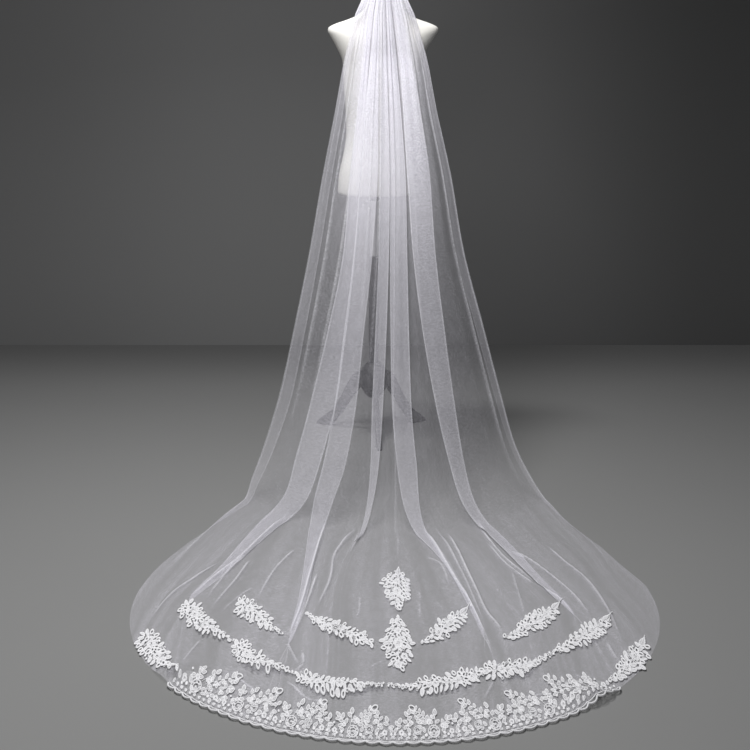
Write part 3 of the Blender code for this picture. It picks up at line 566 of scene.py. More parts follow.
def edgeColumns(row, side):
    under, edge = (row.underL, row.left) if side < 0 else (row.underR, row.right)
    half = (row.right - row.left) / 2
    folded = float(np.clip((under - veil["flatOverlap"]) / 0.02, 0.0, 1.0))
    layer = row.layer * folded
    wide = max(under, 0.0)
    turn = min(veil["turnDepth"] * layer, wide / 2)
    angle = np.linspace(-math.pi / 2, math.pi / 2, veil["turnColumns"])
    flatPart = np.linspace(wide, turn, veil["edgeColumns"] - veil["turnColumns"] + 1)[:-1]
    shut = np.concatenate([flatPart, turn - turn * np.cos(angle)])
    n = np.concatenate([np.zeros(len(flatPart)), 0.5 + 0.5 * np.sin(angle)])
    opened = half * (1 - np.cos(np.arange(len(shut)) * veil["edgeStep"]))
    crease = np.concatenate([np.zeros(len(flatPart)), np.cos(angle) ** 0.7 * folded])
    crease[0] = 0.5
    return edge - side * (folded * shut + (1 - folded) * opened), n * layer, crease


def gatherWave(flat, at):
    # fine gathers at the comb that open into broad soft waves lower down
    fine, broad = float(1 - smoothStep(at, 0.5, 4.0)), float(smoothStep(at, 4.0, 8.0))
    mid = 1 - fine - broad
    wobble = 0.35 * math.sin(0.9 * at) + 0.2 * math.sin(2.1 * at + 1.0)

    def wave(length, shift):
        return np.sin(flat / length * 2 * math.pi + shift)

    (fineLong, fineShort), (midLong, midShort), (broadLong, broadShort) = veil["waveLengths"]
    waves = (fine * (wave(fineLong, 0.0) + 0.5 * wave(fineShort, 1.1))
             + mid * (wave(midLong, 0.6 + wobble) + 0.45 * wave(midShort, 2.0))
             + broad * (wave(broadLong, 1.4 + wobble) + 0.4 * wave(broadShort, 0.0)))
    return np.clip(waves / 1.35, -1.0, 1.0)


def panelColumns(index, at, row, start, end, clear, leans, flatFrom):
    # gathered cloth between two folds: x, level, crease
    count = veil["panelColumns"][index]
    mid, half = (row.left + row.right) / 2, (row.right - row.left) / 2
    turnFrom = math.asin(min(max((start[0] - mid) / half, -1.0), 1.0))
    turnTo = math.asin(min(max((end[0] - mid) / half, -1.0), 1.0))
    number = np.arange(count)
    x = mid + half * np.sin(turnFrom + (turnTo - turnFrom) * (number + 1) / (count + 1))
    free = smoothStep(x, clear[0], clear[1]) if clear[1] > clear[0] else (x > clear[1]).astype(float)
    lean = leans[0] + (leans[1] - leans[0]) * free
    window = smoothStep(number + 1.0, 0.0, 5.0) * smoothStep(count - number + 0.0, 0.0, 5.0)
    wave = gatherWave(flatFrom + number * veil["pitch"], at)
    level = start[1] + (end[1] - start[1]) * free + row.gather * window * (lean + wave) / 2
    crease = np.zeros(count)
    for panel, top, low, atFrom, atTo, height, width in pleats:
        if panel == index and atFrom < at < atTo:
            along = (at - atFrom) / (atTo - atFrom)
            fade = float(smoothStep(along, 0.0, 0.15) * smoothStep(1 - along, 0.0, 0.3))
            bump = np.exp(-((number - (top + (low - top) * along) * count) / width) ** 2) * fade
            level = level + bump * height
            crease = np.maximum(crease, bump * min(height / 0.0055, 1.0) * 0.8)
    return x, level, crease


def veilRow(at):
    # all columns of one row, left free edge to right: x, level, crease
    row = rowAt(at)
    parts = [edgeColumns(row, -1)]
    lean, clearFrom, flatFrom = 1, row.left + max(row.underL, 0.0), 0.0
    for index, fold in enumerate(folds):
        layer = foldLayer(fold, at, row)
        centre, lap = float(smoothAt(fold.centre, at)), max(float(smoothAt(fold.overlap, at)), 0.0) / 2
        needs, have = max(-2 * layer, 0.0), parts[-1][1][-1]
        settled = float(np.clip((centre - lap - clearFrom) / veil["settleWidth"], 0.0, 1.0))
        turns = foldColumns(fold, at, row, max(needs, have + (needs - have) * settled))
        parts.append(panelColumns(index, at, row, (parts[-1][0][-1], have), (turns[0][0], turns[1][0]),
                                  (clearFrom, centre - lap), (lean, -fold.rise), flatFrom))
        parts.append(turns)
        flatFrom += (veil["panelColumns"][index] + len(turns[0])) * veil["pitch"]
        lean, clearFrom = fold.rise, centre + lap
    right = tuple(part[::-1] for part in edgeColumns(row, 1))
    clearTo = row.right - max(row.underR, 0.0)
    parts.append(panelColumns(5, at, row, (parts[-1][0][-1], parts[-1][1][-1]), (right[0][0], right[1][0]),
                              (clearFrom, clearTo), (lean, 1), flatFrom))
    parts.append(right)
    return row, *(np.concatenate([part[k] for part in parts]) for k in range(3))


# ridges that the folds leave on the train, and crumples; their points are (across, behind); bright sets the
# crest's extra thread, its painted highlight and the painted shade on its lee side
Ridge = namedtuple("Ridge", "height width bright points")
ridges = (
    # the left side's folds
    Ridge(0.0045, 0.0060, 0.75, ((-0.480, 1.199), (-0.533, 1.302), (-0.579, 1.399), (-0.606, 1.515),
          (-0.611, 1.613))),
    Ridge(0.0060, 0.0065, 1.00, ((-0.299, 0.831), (-0.365, 0.993), (-0.426, 1.178), (-0.486, 1.315),
          (-0.521, 1.399), (-0.555, 1.479))),
    Ridge(0.0045, 0.0055, 0.75, ((-0.395, 1.192), (-0.423, 1.328), (-0.448, 1.418), (-0.473, 1.515))),
    Ridge(0.0040, 0.0050, 0.60, ((-0.418, 1.178), (-0.444, 1.255), (-0.472, 1.367), (-0.493, 1.461))),
    Ridge(0.0030, 0.0050, 0.50, ((-0.373, 1.373), (-0.418, 1.461), (-0.445, 1.539))),
    Ridge(0.0040, 0.0055, 0.65, ((-0.272, 1.099), (-0.319, 1.241), (-0.348, 1.393), (-0.353, 1.455))),
    Ridge(0.0035, 0.0055, 0.60, ((-0.215, 0.630), (-0.258, 0.806), (-0.276, 1.024))),
    # the middle's folds
    Ridge(0.0060, 0.0065, 1.00, ((-0.187, 0.831), (-0.212, 1.106), (-0.226, 1.295), (-0.242, 1.509),
          (-0.266, 1.684), (-0.276, 1.789))),
    Ridge(0.0040, 0.0050, 0.70, ((-0.205, 1.282), (-0.225, 1.473), (-0.245, 1.624), (-0.264, 1.684))),
    Ridge(0.0040, 0.0055, 0.60, ((-0.086, 0.831), (-0.094, 0.993), (-0.126, 1.157))),
    Ridge(0.0040, 0.0055, 0.65, ((-0.094, 0.946), (-0.142, 1.069), (-0.165, 1.171), (-0.171, 1.328),
          (-0.199, 1.491), (-0.221, 1.556))),
    Ridge(0.0020, 0.0060, 0.30, ((0.018, 0.781), (0.017, 1.024), (0.014, 1.213))),
    Ridge(0.0022, 0.0050, 0.40, ((-0.089, 1.430), (-0.091, 1.521), (-0.103, 1.568))),
    Ridge(0.0018, 0.0055, 0.28, ((0.069, 1.393), (0.062, 1.590))),
    # the right side's folds
    Ridge(0.0060, 0.0060, 1.00, ((0.064, 0.889), (0.109, 1.031), (0.144, 1.206), (0.171, 1.348),
          (0.192, 1.443), (0.213, 1.579), (0.226, 1.701), (0.221, 1.819))),
    Ridge(0.0040, 0.0050, 0.70, ((0.095, 0.848), (0.152, 1.046), (0.179, 1.213), (0.200, 1.367),
          (0.217, 1.527), (0.232, 1.684))),
    Ridge(0.0055, 0.0055, 0.95, ((0.157, 0.946), (0.185, 1.121), (0.200, 1.241), (0.219, 1.393),
          (0.235, 1.521), (0.260, 1.619), (0.266, 1.784))),
    Ridge(0.0028, 0.0050, 0.45, ((0.084, 1.178), (0.124, 1.213), (0.140, 1.275), (0.146, 1.380))),
    Ridge(0.0022, 0.0050, 0.40, ((0.110, 1.467), (0.128, 1.527))),
    Ridge(0.0055, 0.0060, 1.00, ((0.226, 0.693), (0.252, 0.889), (0.281, 1.046), (0.313, 1.171),
          (0.361, 1.295), (0.405, 1.443))),
    Ridge(0.0045, 0.0055, 0.75, ((0.270, 1.046), (0.310, 1.206), (0.370, 1.341), (0.429, 1.436),
          (0.457, 1.539), (0.473, 1.585))),
    Ridge(0.0045, 0.0055, 0.75, ((0.323, 1.121), (0.380, 1.199), (0.450, 1.361), (0.481, 1.461),
          (0.500, 1.585))),
    Ridge(0.0045, 0.0060, 0.70, ((0.431, 1.069), (0.470, 1.192), (0.521, 1.328), (0.544, 1.485),
          (0.550, 1.630), (0.550, 1.727))),
    Ridge(0.0025, 0.0055, 0.40, ((0.324, 1.261), (0.328, 1.436), (0.331, 1.550))),
    # crumples near the hem
    Ridge(0.0030, 0.0050, 0.60, ((-0.264, 1.690), (-0.234, 1.789), (-0.221, 1.809))),
    Ridge(0.0030, 0.0050, 0.55, ((-0.222, 1.743), (-0.219, 1.804), (-0.237, 1.853))),
    Ridge(0.0028, 0.0055, 0.55, ((-0.473, 1.684), (-0.490, 1.737), (-0.505, 1.804))),
    Ridge(0.0030, 0.0055, 0.55, ((-0.251, 1.887), (-0.204, 1.966), (-0.170, 1.980), (-0.149, 2.006))),
    Ridge(0.0030, 0.0055, 0.55, ((-0.375, 1.858), (-0.333, 1.915), (-0.292, 1.952))),
    Ridge(0.0022, 0.0050, 0.40, ((-0.031, 1.789), (-0.066, 1.824))),
    Ridge(0.0025, 0.0050, 0.45, ((0.260, 1.619), (0.266, 1.684), (0.266, 1.784))),
    Ridge(0.0025, 0.0055, 0.50, ((0.511, 1.701), (0.518, 1.748), (0.526, 1.794))),
    Ridge(0.0025, 0.0055, 0.50, ((0.411, 1.858), (0.444, 1.887))),
    Ridge(0.0028, 0.0055, 0.50, ((0.222, 1.887), (0.207, 1.934), (0.192, 1.975))),
    Ridge(0.0026, 0.0055, 0.50, ((0.167, 2.019), (0.190, 2.011), (0.213, 2.019))),
    Ridge(0.0028, 0.0060, 0.50, ((0.275, 1.971), (0.320, 1.952), (0.356, 1.948))),
)
# broad soft billows that hold the lace's lower edges off the floor: across, behind, height, widths
billows = (
    (-0.32, 1.835, 0.0140, 0.075, 0.026), (-0.12, 1.925, 0.0140, 0.085, 0.024),
    (0.10, 1.925, 0.0070, 0.070, 0.026), (0.29, 1.855, 0.0095, 0.070, 0.028),
    (-0.47, 1.66, 0.0060, 0.060, 0.035), (0.47, 1.70, 0.0065, 0.060, 0.035),
    (-0.13, 1.66, 0.0050, 0.070, 0.030), (0.00, 1.40, 0.0040, 0.045, 0.080),
    (0.13, 1.62, 0.0045, 0.060, 0.030), (-0.49, 1.86, 0.0230, 0.055, 0.034),
    (0.42, 1.97, 0.0230, 0.065, 0.034), (-0.30, 2.02, 0.0060, 0.070, 0.024),
)


def smoothLine(points, pieces=6):
    # the line through the points, rounded between them
    points = np.asarray(points, float)
    padded = np.vstack([2 * points[0] - points[1], points, 2 * points[-1] - points[-2]])
    made = []
    for k in range(len(points) - 1):
        a, b, c, d = padded[k:k + 4]
        for t in np.arange(pieces) / pieces:
            square, cube = 2 * a - 5 * b + 4 * c - d, 3 * b - a - 3 * c + d
            made.append(0.5 * (2 * b + (c - a) * t + square * t**2 + cube * t**3))
    return np.array(made + [points[-1]])


ridgeLines = [ridge._replace(points=smoothLine(ridge.points)) for ridge in ridges]


def trainForm(x, behind):
    # height and crease of the train's ridges and billows, then how far off the nearest crest is and how
    # bright that crest is, which also sets the painted shade on its lee side
    height, crease, light = np.zeros(len(x)), np.zeros(len(x)), np.zeros(len(x))
    side, first, second = (np.full(len(x), far) for far in (veil["noRidge"], veil["noRidge"], 0.05))
    for tall, wide, bright, line in ridgeLines:
        low, high = line.min(axis=0) - veil["ridgeReach"], line.max(axis=0) + veil["ridgeReach"]
        inside = (x > low[0]) & (x < high[0]) & (behind > low[1]) & (behind < high[1])
        if not inside.any():
            continue
        place = np.stack([x[inside], behind[inside]], axis=1)
        nearest, along, signed = np.full(len(place), 1e9), np.zeros(len(place)), np.zeros(len(place))
        steps = np.linalg.norm(np.diff(line, axis=0), axis=1)
        done = 0.0
        for start, end, size in zip(line, line[1:], steps):
            way = (end - start) / size
            t = np.clip((place - start) @ way, 0.0, size)
            off = place - start - t[:, None] * way
            away = np.linalg.norm(off, axis=1)
            closer = away < nearest
            nearest = np.where(closer, away, nearest)
            along = np.where(closer, (done + t) / steps.sum(), along)
            signed = np.where(closer, np.copysign(away, way[0] * off[:, 1] - way[1] * off[:, 0]), signed)
            done += size
        fade = smoothStep(along, 0.0, 0.14) * (1 - 0.3 * along) * smoothStep(1 - along, 0.0, 0.30)
        profile = np.exp(-(nearest / wide) ** 2) * fade
        height[inside] = np.maximum(height[inside], profile * tall)
        crease[inside] = np.maximum(crease[inside], profile ** 1.2 * bright * 0.75)
        closer = nearest < first[inside]
        second[inside] = np.where(closer, first[inside], np.minimum(second[inside], nearest))
        side[inside] = np.where(closer, signed, side[inside])
        light[inside] = np.where(closer, fade * bright * np.exp(-(nearest / 0.009) ** 2), light[inside])
        first[inside] = np.minimum(first[inside], nearest)
    for midX, midB, tall, wideX, wideB in billows:
        height += tall * np.exp(-((x - midX) / wideX) ** 2 - ((behind - midB) / wideB) ** 2)
    ripple = (np.sin(x * 71 + behind * 23) * np.sin(behind * 64 - x * 17 + 1.3)
              + 0.5 * np.sin(x * 143 - behind * 51 + 0.4) * np.sin(behind * 117 + x * 39))
    light *= smoothStep(second - first, 0.003, 0.008)        # no line halfway between two ridges
    return height + veil["ripple"] * (1 + ripple / 1.5), crease, side, light


def trainHeight(x, behind):
    return veil["netLift"] + trainForm(x, behind)[0]


def rowPlaces():
    # rows evenly spaced down the middle, closer together on the train, and how far down each lies
    fine = np.linspace(0, len(stations) - 1, 1701)
    rows = [rowAt(at) for at in fine]
    line = np.array([(row.middle, row.z) for row in rows])
    length = np.concatenate([[0.0], np.cumsum(np.linalg.norm(np.diff(line, axis=0), axis=1))])
    floorAt = np.interp(12.0, fine, length)
    hung = np.linspace(0, floorAt, veil["hungRows"], endpoint=False)
    train = np.linspace(floorAt, length[-1], veil["trainRows"])
    down = np.concatenate([hung, train])
    return np.interp(down, length, fine), down


def buildTulle():
    places, down = rowPlaces()
    points = []
    shades = {"cover": [], "crease": [], "streak": [], "ridgeSide": [], "ridgeLight": []}
    for at in places:
        row, x, level, fold = veilRow(at)
        made = rowPoints(row, x, level)
        side, light = np.full(len(x), veil["noRidge"]), np.zeros(len(x))
        onFloor = float(smoothStep(at, 11.6, 12.5))
        if onFloor > 0:
            lift, bright, side, light = trainForm(made[:, 0], poleY - made[:, 1])
            edge = smoothStep(np.minimum(made[:, 0] - row.left, row.right - made[:, 0]), 0.0, 0.03)
            made[:, 2] += lift * onFloor * edge
            fold = np.maximum(fold, bright * onFloor)
        points.append(made)
        # the gathers thin out towards both sides of the hanging part
        u = np.abs(x - (row.left + row.right) / 2) / (row.right - row.left) * 2
        hangs = float(smoothStep(at, 1.0, 2.5) * (1 - smoothStep(at, 5.5, 8.0)))
        thin = 0.6 * smoothStep(u, 0.5, 0.9) * hangs
        streak = 0.35 * (1 - smoothStep(at, 2.0, 7.0)) + 0.45 + 1.10 * onFloor
        values = {"cover": row.cover * (1 - thin), "crease": fold, "streak": np.full(len(x), streak),
                  "ridgeSide": side, "ridgeLight": light * onFloor}
        for name, value in values.items():
            shades[name].append(value)
    across, rows = len(points[0]), len(points)
    bm = bmesh.new()
    bmesh.ops.create_grid(bm, x_segments=across - 1, y_segments=rows - 1, size=1.0)
    mesh = meshFrom(bm, "tulle_panel")
    grid = coordinates(mesh)
    column = np.rint((grid[:, 0] + 1) / 2 * (across - 1)).astype(int)
    line = np.rint((1 - grid[:, 1]) / 2 * (rows - 1)).astype(int)
    setCoordinates(mesh, np.array(points)[line, column])
    for name, values in shades.items():
        layer = mesh.attributes.new(name, "FLOAT", "POINT")
        layer.data.foreach_set("value", np.array(values)[line, column].astype(np.float32))
    corner = np.empty(len(mesh.loops), np.int32)
    mesh.loops.foreach_get("vertex_index", corner)
    cloth = np.stack([column * veil["pitch"], down[line]], axis=1)[corner]
    mesh.uv_layers.new(name="cloth").data.foreach_set("uv", cloth.astype(np.float32).ravel())
    return newObject("tulle_panel", mesh, tulleFinish)


tulle = buildTulle()
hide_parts("veil_tulle")
print("tulle laid:", len(tulle.data.polygons) * 2, "triangles")

# corded lace
lace = {
    "lift": 0.0022,                     # above the net that it is sewn to
    "groundOpen": 0.97,
    "stem": 0.0014, "stitch": 0.0007,
    "drawn": 2.1,                       # the motifs are that much longer along the train than across it
    "spacing": 0.0108,                  # between the middles of two leaves
    "leafMiddle": 0.0078,               # from a leaf's root
    "firstRank": 0.0026, "rankStep": 0.0053,
    "fineStart": 0.0014, "fineStep": 0.0036,
    "rooms": {"flower": 0.0088, "rose": 0.0105, "tip": 0.0042, "bead": 0.0042, "ring": 0.0025},
    "taken": {"bead": 0.0028, "ring": 0.0034},
    "beadWidths": (0.0030, 0.0055),     # a stem's half widths that carry beads in place of leaves
    "scallopStep": 0.0080,
    "ragged": 0.0045, "bare": 0.30,     # so near the edge, so many of the places for a leaf stay bare
}


def openness(bm):
    return bm.faces.layers.float.get("open") or bm.faces.layers.float.new("open")


def cordedFace(bm, face, cord, open_):
    # turn one flat face into a raised cord round a netted middle
    layer = openness(bm)
    for thickness, depth in ((cord, cord * 1.5), (cord, -cord * 1.2)):
        bmesh.ops.inset_individual(bm, faces=[face], thickness=thickness, depth=depth)
    face[layer] = open_


def leafMesh(name, long, wide, pointed, lobes=0, open_=0.25, hollow=False, cord=0.0011, vein=True,
             segments=22):
    # a netted leaf in a scalloped cord, root at the origin, tip along +Y
    bm = bmesh.new()
    layer = openness(bm)
    bmesh.ops.create_circle(bm, cap_ends=True, segments=segments, radius=1.0)
    for vert in bm.verts:
        s = (vert.co.y + 1) / 2
        scallop = 1 - 0.10 * math.cos(2 * math.pi * lobes * s) if lobes else 1.0
        vert.co.x *= wide / 2 * (1.08 + pointed * (0.35 - s)) * scallop
        vert.co.y = long * s ** (1 - 0.15 * pointed)
    bm.normal_update()
    outline = bm.faces[:][0]
    cordedFace(bm, outline, cord, open_)
    if hollow:
        bmesh.ops.delete(bm, geom=[outline], context="FACES_ONLY")
    elif vein:
        made = bmesh.ops.create_circle(bm, cap_ends=True, segments=8, radius=1.0)["verts"]
        for vert in made:
            vert.co = (vert.co.x * wide * 0.075, long * (0.45 + 0.33 * vert.co.y), cord * 0.5)
        rib = made[0].link_faces[0]
        rib.normal_update()
        bmesh.ops.inset_individual(bm, faces=[rib], thickness=wide * 0.03, depth=cord * 0.9)
        rib[layer] = 0.0
    return meshFrom(bm, name)


def ringMesh(name, radius, cord, steps=14, filled=0.0):
    # a cord laid in a ring, with a netted middle if filled
    bm = bmesh.new()
    layer = openness(bm)
    made = bmesh.ops.create_circle(bm, cap_ends=False, segments=6, radius=cord)["verts"]
    bmesh.ops.rotate(bm, verts=made, cent=(0, 0, 0), matrix=Matrix.Rotation(math.pi / 2, 3, "X"))
    bmesh.ops.translate(bm, verts=made, vec=(radius, 0, cord * 0.7))
    bmesh.ops.spin(bm, geom=bm.verts[:] + bm.edges[:], cent=(0, 0, 0), axis=(0, 0, 1), angle=2 * math.pi,
                   steps=steps, use_merge=True, use_duplicate=False)
    bmesh.ops.remove_doubles(bm, verts=bm.verts[:], dist=0.00001)
    bmesh.ops.recalc_face_normals(bm, faces=bm.faces[:])
    if filled:
        disc = bmesh.ops.create_circle(bm, cap_ends=True, segments=steps, radius=radius)["verts"]
        bmesh.ops.translate(bm, verts=disc, vec=(0, 0, cord * 0.5))
        for face in disc[0].link_faces:
            face[layer] = filled
    return meshFrom(bm, name)


def cordMesh(points, radius):
    # a cord along flat points, as a mesh
    curve = bpy.data.curves.new("cord", "CURVE")
    curve.dimensions = "3D"
    curve.bevel_depth, curve.bevel_resolution, curve.use_fill_caps = radius, 1, True
    line = curve.splines.new("POLY")
    line.points.add(len(points) - 1)
    for point, (x, y) in zip(line.points, points):
        point.co = (x, y, radius * 0.7, 1.0)
    holder = bpy.data.objects.new("cord", curve)
    bpy.context.scene.collection.objects.link(holder)
    bpy.context.view_layer.update()
    mesh = bpy.data.meshes.new_from_object(holder.evaluated_get(bpy.context.evaluated_depsgraph_get()))
    bpy.data.objects.remove(holder)
    bpy.data.curves.remove(curve)
    mesh.attributes.new("open", "FLOAT", "FACE")
    mesh.materials.clear()
    return mesh


motifs = {
    "full": leafMesh("leaf_full", 0.0162, 0.0106, 0.5, 0, 0.12, cord=0.0010, segments=16),
    "slim": leafMesh("leaf_slim", 0.0165, 0.0078, 0.5, 0, 0.10, cord=0.0009, vein=False, segments=14),
    "loop": leafMesh("leaf_loop", 0.0158, 0.0114, 0.3, 0, 0.20, True, 0.0019, segments=16),
    "tip": leafMesh("leaf_tip", 0.0240, 0.0110, 1.25, 5, 0.20, cord=0.0010, segments=32),
    "bead": leafMesh("lace_bead", 0.0058, 0.0056, 0.0, 0, 0.0, cord=0.0009, vein=False, segments=10),
    "net": leafMesh("leaf_netted", 0.0135, 0.0088, 0.5, 0, 0.50, cord=0.0009, segments=14),
    "netLoop": leafMesh("leaf_open", 0.0150, 0.0110, 0.2, 0, 0.60, True, 0.0013, segments=16),
    "petal": leafMesh("petal", 0.0078, 0.0074, -0.4, 0, 0.12, cord=0.0008, vein=False, segments=12),
    "netPetal": leafMesh("petal_netted", 0.0054, 0.0056, -0.4, 0, 0.55, cord=0.0007, vein=False,
                         segments=10),
    "eye": ringMesh("flower_eye", 0.0026, 0.0008, 10),
    "knot": ringMesh("flower_knot", 0.0014, 0.0009, 8, 0.1),
    "ring": ringMesh("rose_ring", 0.0112, 0.0012, 22),
    "innerRing": ringMesh("rose_inner_ring", 0.0068, 0.0010, 16),
    "scallop": ringMesh("stem_scallop", 0.0026, 0.0009, 10),
}


def squeezed(heading):
    # a heading on the cloth, as it is before the motifs are drawn out along the train
    return math.atan2(math.sin(heading) / lace["drawn"], math.cos(heading))


class Patch:
    # one piece of lace being laid out flat, across and along
    def __init__(self, name):
        self.name, self.bm, self.random = name, bmesh.new(), random.Random(name)
        openness(self.bm)

    def put(self, kind, x, y, heading=0.0, size=1.0, lift=0.0, wide=1.0):
        start = len(self.bm.verts)
        self.bm.from_mesh(motifs[kind])
        self.bm.verts.ensure_lookup_table()
        sized = Matrix.Diagonal((size * wide, size, 1.0, 1.0))
        place = (Matrix.Translation((x, y, lift)) @ Matrix.Diagonal((1.0, lace["drawn"], 1.0, 1.0))
                 @ Matrix.Rotation(heading - math.pi / 2, 4, "Z") @ sized)
        bmesh.ops.transform(self.bm, matrix=place, verts=self.bm.verts[start:])

    def cord(self, points, radius):
        mesh = cordMesh(points, radius)
        self.bm.from_mesh(mesh)
        bpy.data.meshes.remove(mesh)

    def around(self, kind, x, y, turn, reach, size, lift, wide=1.0):
        side, along = reach * math.cos(turn), reach * math.sin(turn) * lace["drawn"]
        self.put(kind, x + side, y + along, turn, size, lift, wide)

    def flower(self, x, y, size, heading=0.0, petals=6):
        for k in range(petals):
            turn = heading + 2 * math.pi * k / petals
            lift = 0.0004 + 0.0003 * (k % 2)                # every other petal lies over its neighbours
            self.around("petal", x, y, turn, 0.0029 * size, size, lift, 5.8 / petals)
        self.put("eye", x, y, heading, size, 0.0012)

    def rose(self, x, y, size, heading=0.0):
        for k in range(8):
            turn = heading + 2 * math.pi * k / 8
            self.around("netPetal", x, y, turn, 0.0066 * size, size * 0.70, 0.0002)
        self.put("ring", x, y, heading, size, 0.0008)
        self.put("innerRing", x, y, heading, size, 0.0008)
        self.put("knot", x, y, heading, size, 0.0012)

    def lay(self):
        mesh = meshFrom(self.bm, self.name)
        points = coordinates(mesh)
        points[:, 2] += trainHeight(points[:, 0], poleY - points[:, 1]) + lace["lift"]
        setCoordinates(mesh, points)
        return newObject(self.name, mesh, laceFinish)


# how each kind of spray is laid out: half widths along the stem (shares, left then right of it),
# flowers (along, aside in half widths, size, petals), roses (along, aside, size), large leaves (along,
# aside, turn in degrees, size) and the stretches of thin stem edged with small loops
layouts = {
    "fanned": {
        "left": (0.40, 0.85, 1.00, 0.85, 0.95, 0.85, 0.75, 0.66, 0.42, 0.28, 0.20),
        "right": (0.45, 0.90, 1.05, 0.95, 1.05, 0.95, 0.85, 0.66, 0.44, 0.30, 0.20),
        "flowers": ((0.30, 0.05, 1.15, 6), (0.56, -0.10, 1.00, 5)), "tips": (), "scallops": (),
    },
    "pointed": {
        "left": (0.24, 0.36, 0.44, 0.62, 0.80, 1.00, 0.95, 0.66, 0.34, 0.20, 0.05),
        "right": (0.24, 0.38, 0.48, 0.66, 0.82, 1.00, 1.05, 1.05, 0.80, 0.36, 0.05),
        "flowers": ((0.36, 0.00, 0.95, 5), (0.60, 0.02, 1.15, 6)),
        "tips": ((0.80, 0.00, 0, 1.30),), "scallops": (),
    },
    "crown": {
        "left": (0.15, 0.40, 0.66, 0.95, 0.90, 1.00, 0.80, 0.85, 0.66, 0.40, 0.14),
        "right": (0.15, 0.45, 0.75, 0.90, 1.05, 0.95, 0.85, 0.75, 0.60, 0.34, 0.14),
        "flowers": ((0.33, 0.00, 0.95, 5), (0.57, 0.02, 1.20, 6), (0.60, -0.64, 0.80, 5)),
        "tips": ((0.17, 0.00, 180, 1.25),), "scallops": ((0.84, 1.00),),
    },
    "drop": {
        "left": (0.14, 0.45, 0.60, 0.80, 0.90, 1.05, 0.95, 0.80, 0.70, 0.50, 0.24),
        "right": (0.14, 0.40, 0.66, 0.75, 1.00, 1.05, 0.90, 0.85, 0.66, 0.50, 0.24),
        "flowers": ((0.27, 0.00, 0.90, 5), (0.50, 0.00, 1.25, 6), (0.76, 0.34, 0.85, 5),
                    (0.91, -0.02, 0.95, 5)),
        "tips": (), "scallops": ((0.00, 0.12),),
    },
    "rosette": {
        "left": (0.24, 0.34, 0.44, 0.80, 0.95, 1.00, 0.95, 0.80, 0.66, 0.55, 0.36),
        "right": (0.24, 0.36, 0.48, 0.85, 1.05, 0.95, 0.85, 0.75, 0.62, 0.50, 0.34),
        "flowers": ((0.66, -0.05, 0.95, 5),), "roses": ((0.45, 0.00, 0.95),), "tips": (),
        "scallops": ((0.00, 0.12),),
    },
    "swag": {
        "left": (0.45, 0.80, 1.00, 0.90, 0.85, 0.95, 0.85, 0.55, 0.32, 0.24, 0.22),
        "right": (0.45, 0.80, 0.95, 1.05, 0.85, 1.00, 0.85, 0.55, 0.32, 0.24, 0.22),
        "flowers": ((0.25, 0.00, 1.05, 6), (0.50, -0.05, 0.95, 5)), "tips": (),
        "scallops": ((0.72, 1.00),),
    },
}
# stem's start, middle and end, half width, layout, and whether the layout runs the other way
Spray = namedtuple("Spray", "x0 b0 x1 b1 x2 b2 half layout turned")
sprays = {
    "spray_upper_1": Spray(-0.403, 1.455, -0.355, 1.535, -0.280, 1.655, 0.0255, "fanned", False),
    "spray_upper_2": Spray(-0.225, 1.538, -0.140, 1.640, -0.052, 1.700, 0.0225, "rosette", False),
    "spray_centre_1": Spray(0.014, 1.262, 0.002, 1.380, 0.010, 1.520, 0.0390, "crown", False),
    "spray_centre_2": Spray(0.006, 1.555, 0.006, 1.700, 0.006, 1.835, 0.0400, "drop", False),
    "spray_upper_3": Spray(0.064, 1.700, 0.120, 1.640, 0.195, 1.480, 0.0250, "pointed", False),
    "spray_upper_4": Spray(0.267, 1.672, 0.352, 1.600, 0.436, 1.450, 0.0245, "pointed", False),
    "garland_1": Spray(-0.540, 1.470, -0.495, 1.590, -0.392, 1.694, 0.0245, "fanned", False),
    "garland_2": Spray(-0.388, 1.700, -0.345, 1.800, -0.235, 1.862, 0.0230, "fanned", False),
    "garland_3": Spray(-0.230, 1.866, -0.130, 1.945, -0.030, 1.915, 0.0215, "swag", False),
    "garland_4": Spray(-0.022, 1.914, 0.090, 1.945, 0.190, 1.850, 0.0220, "swag", True),
    "garland_5": Spray(0.195, 1.846, 0.295, 1.850, 0.372, 1.752, 0.0230, "swag", False),
    "garland_6": Spray(0.378, 1.748, 0.475, 1.665, 0.553, 1.528, 0.0250, "pointed", False),
    "spray_side_1": Spray(-0.614, 1.640, -0.585, 1.750, -0.503, 1.862, 0.0275, "fanned", False),
    "spray_side_2": Spray(0.488, 1.892, 0.560, 1.810, 0.610, 1.660, 0.0260, "pointed", False),
}


def stemPoint(spray, t):
    # place on the stem, and its heading before the lace is drawn out along the train
    x = (1 - t) ** 2 * spray.x0 + 2 * t * (1 - t) * spray.x1 + t**2 * spray.x2
    b = (1 - t) ** 2 * spray.b0 + 2 * t * (1 - t) * spray.b1 + t**2 * spray.b2
    dx = (1 - t) * (spray.x1 - spray.x0) + t * (spray.x2 - spray.x1)
    db = (1 - t) * (spray.b1 - spray.b0) + t * (spray.b2 - spray.b1)
    return x, poleY - b, squeezed(math.atan2(-db, dx))


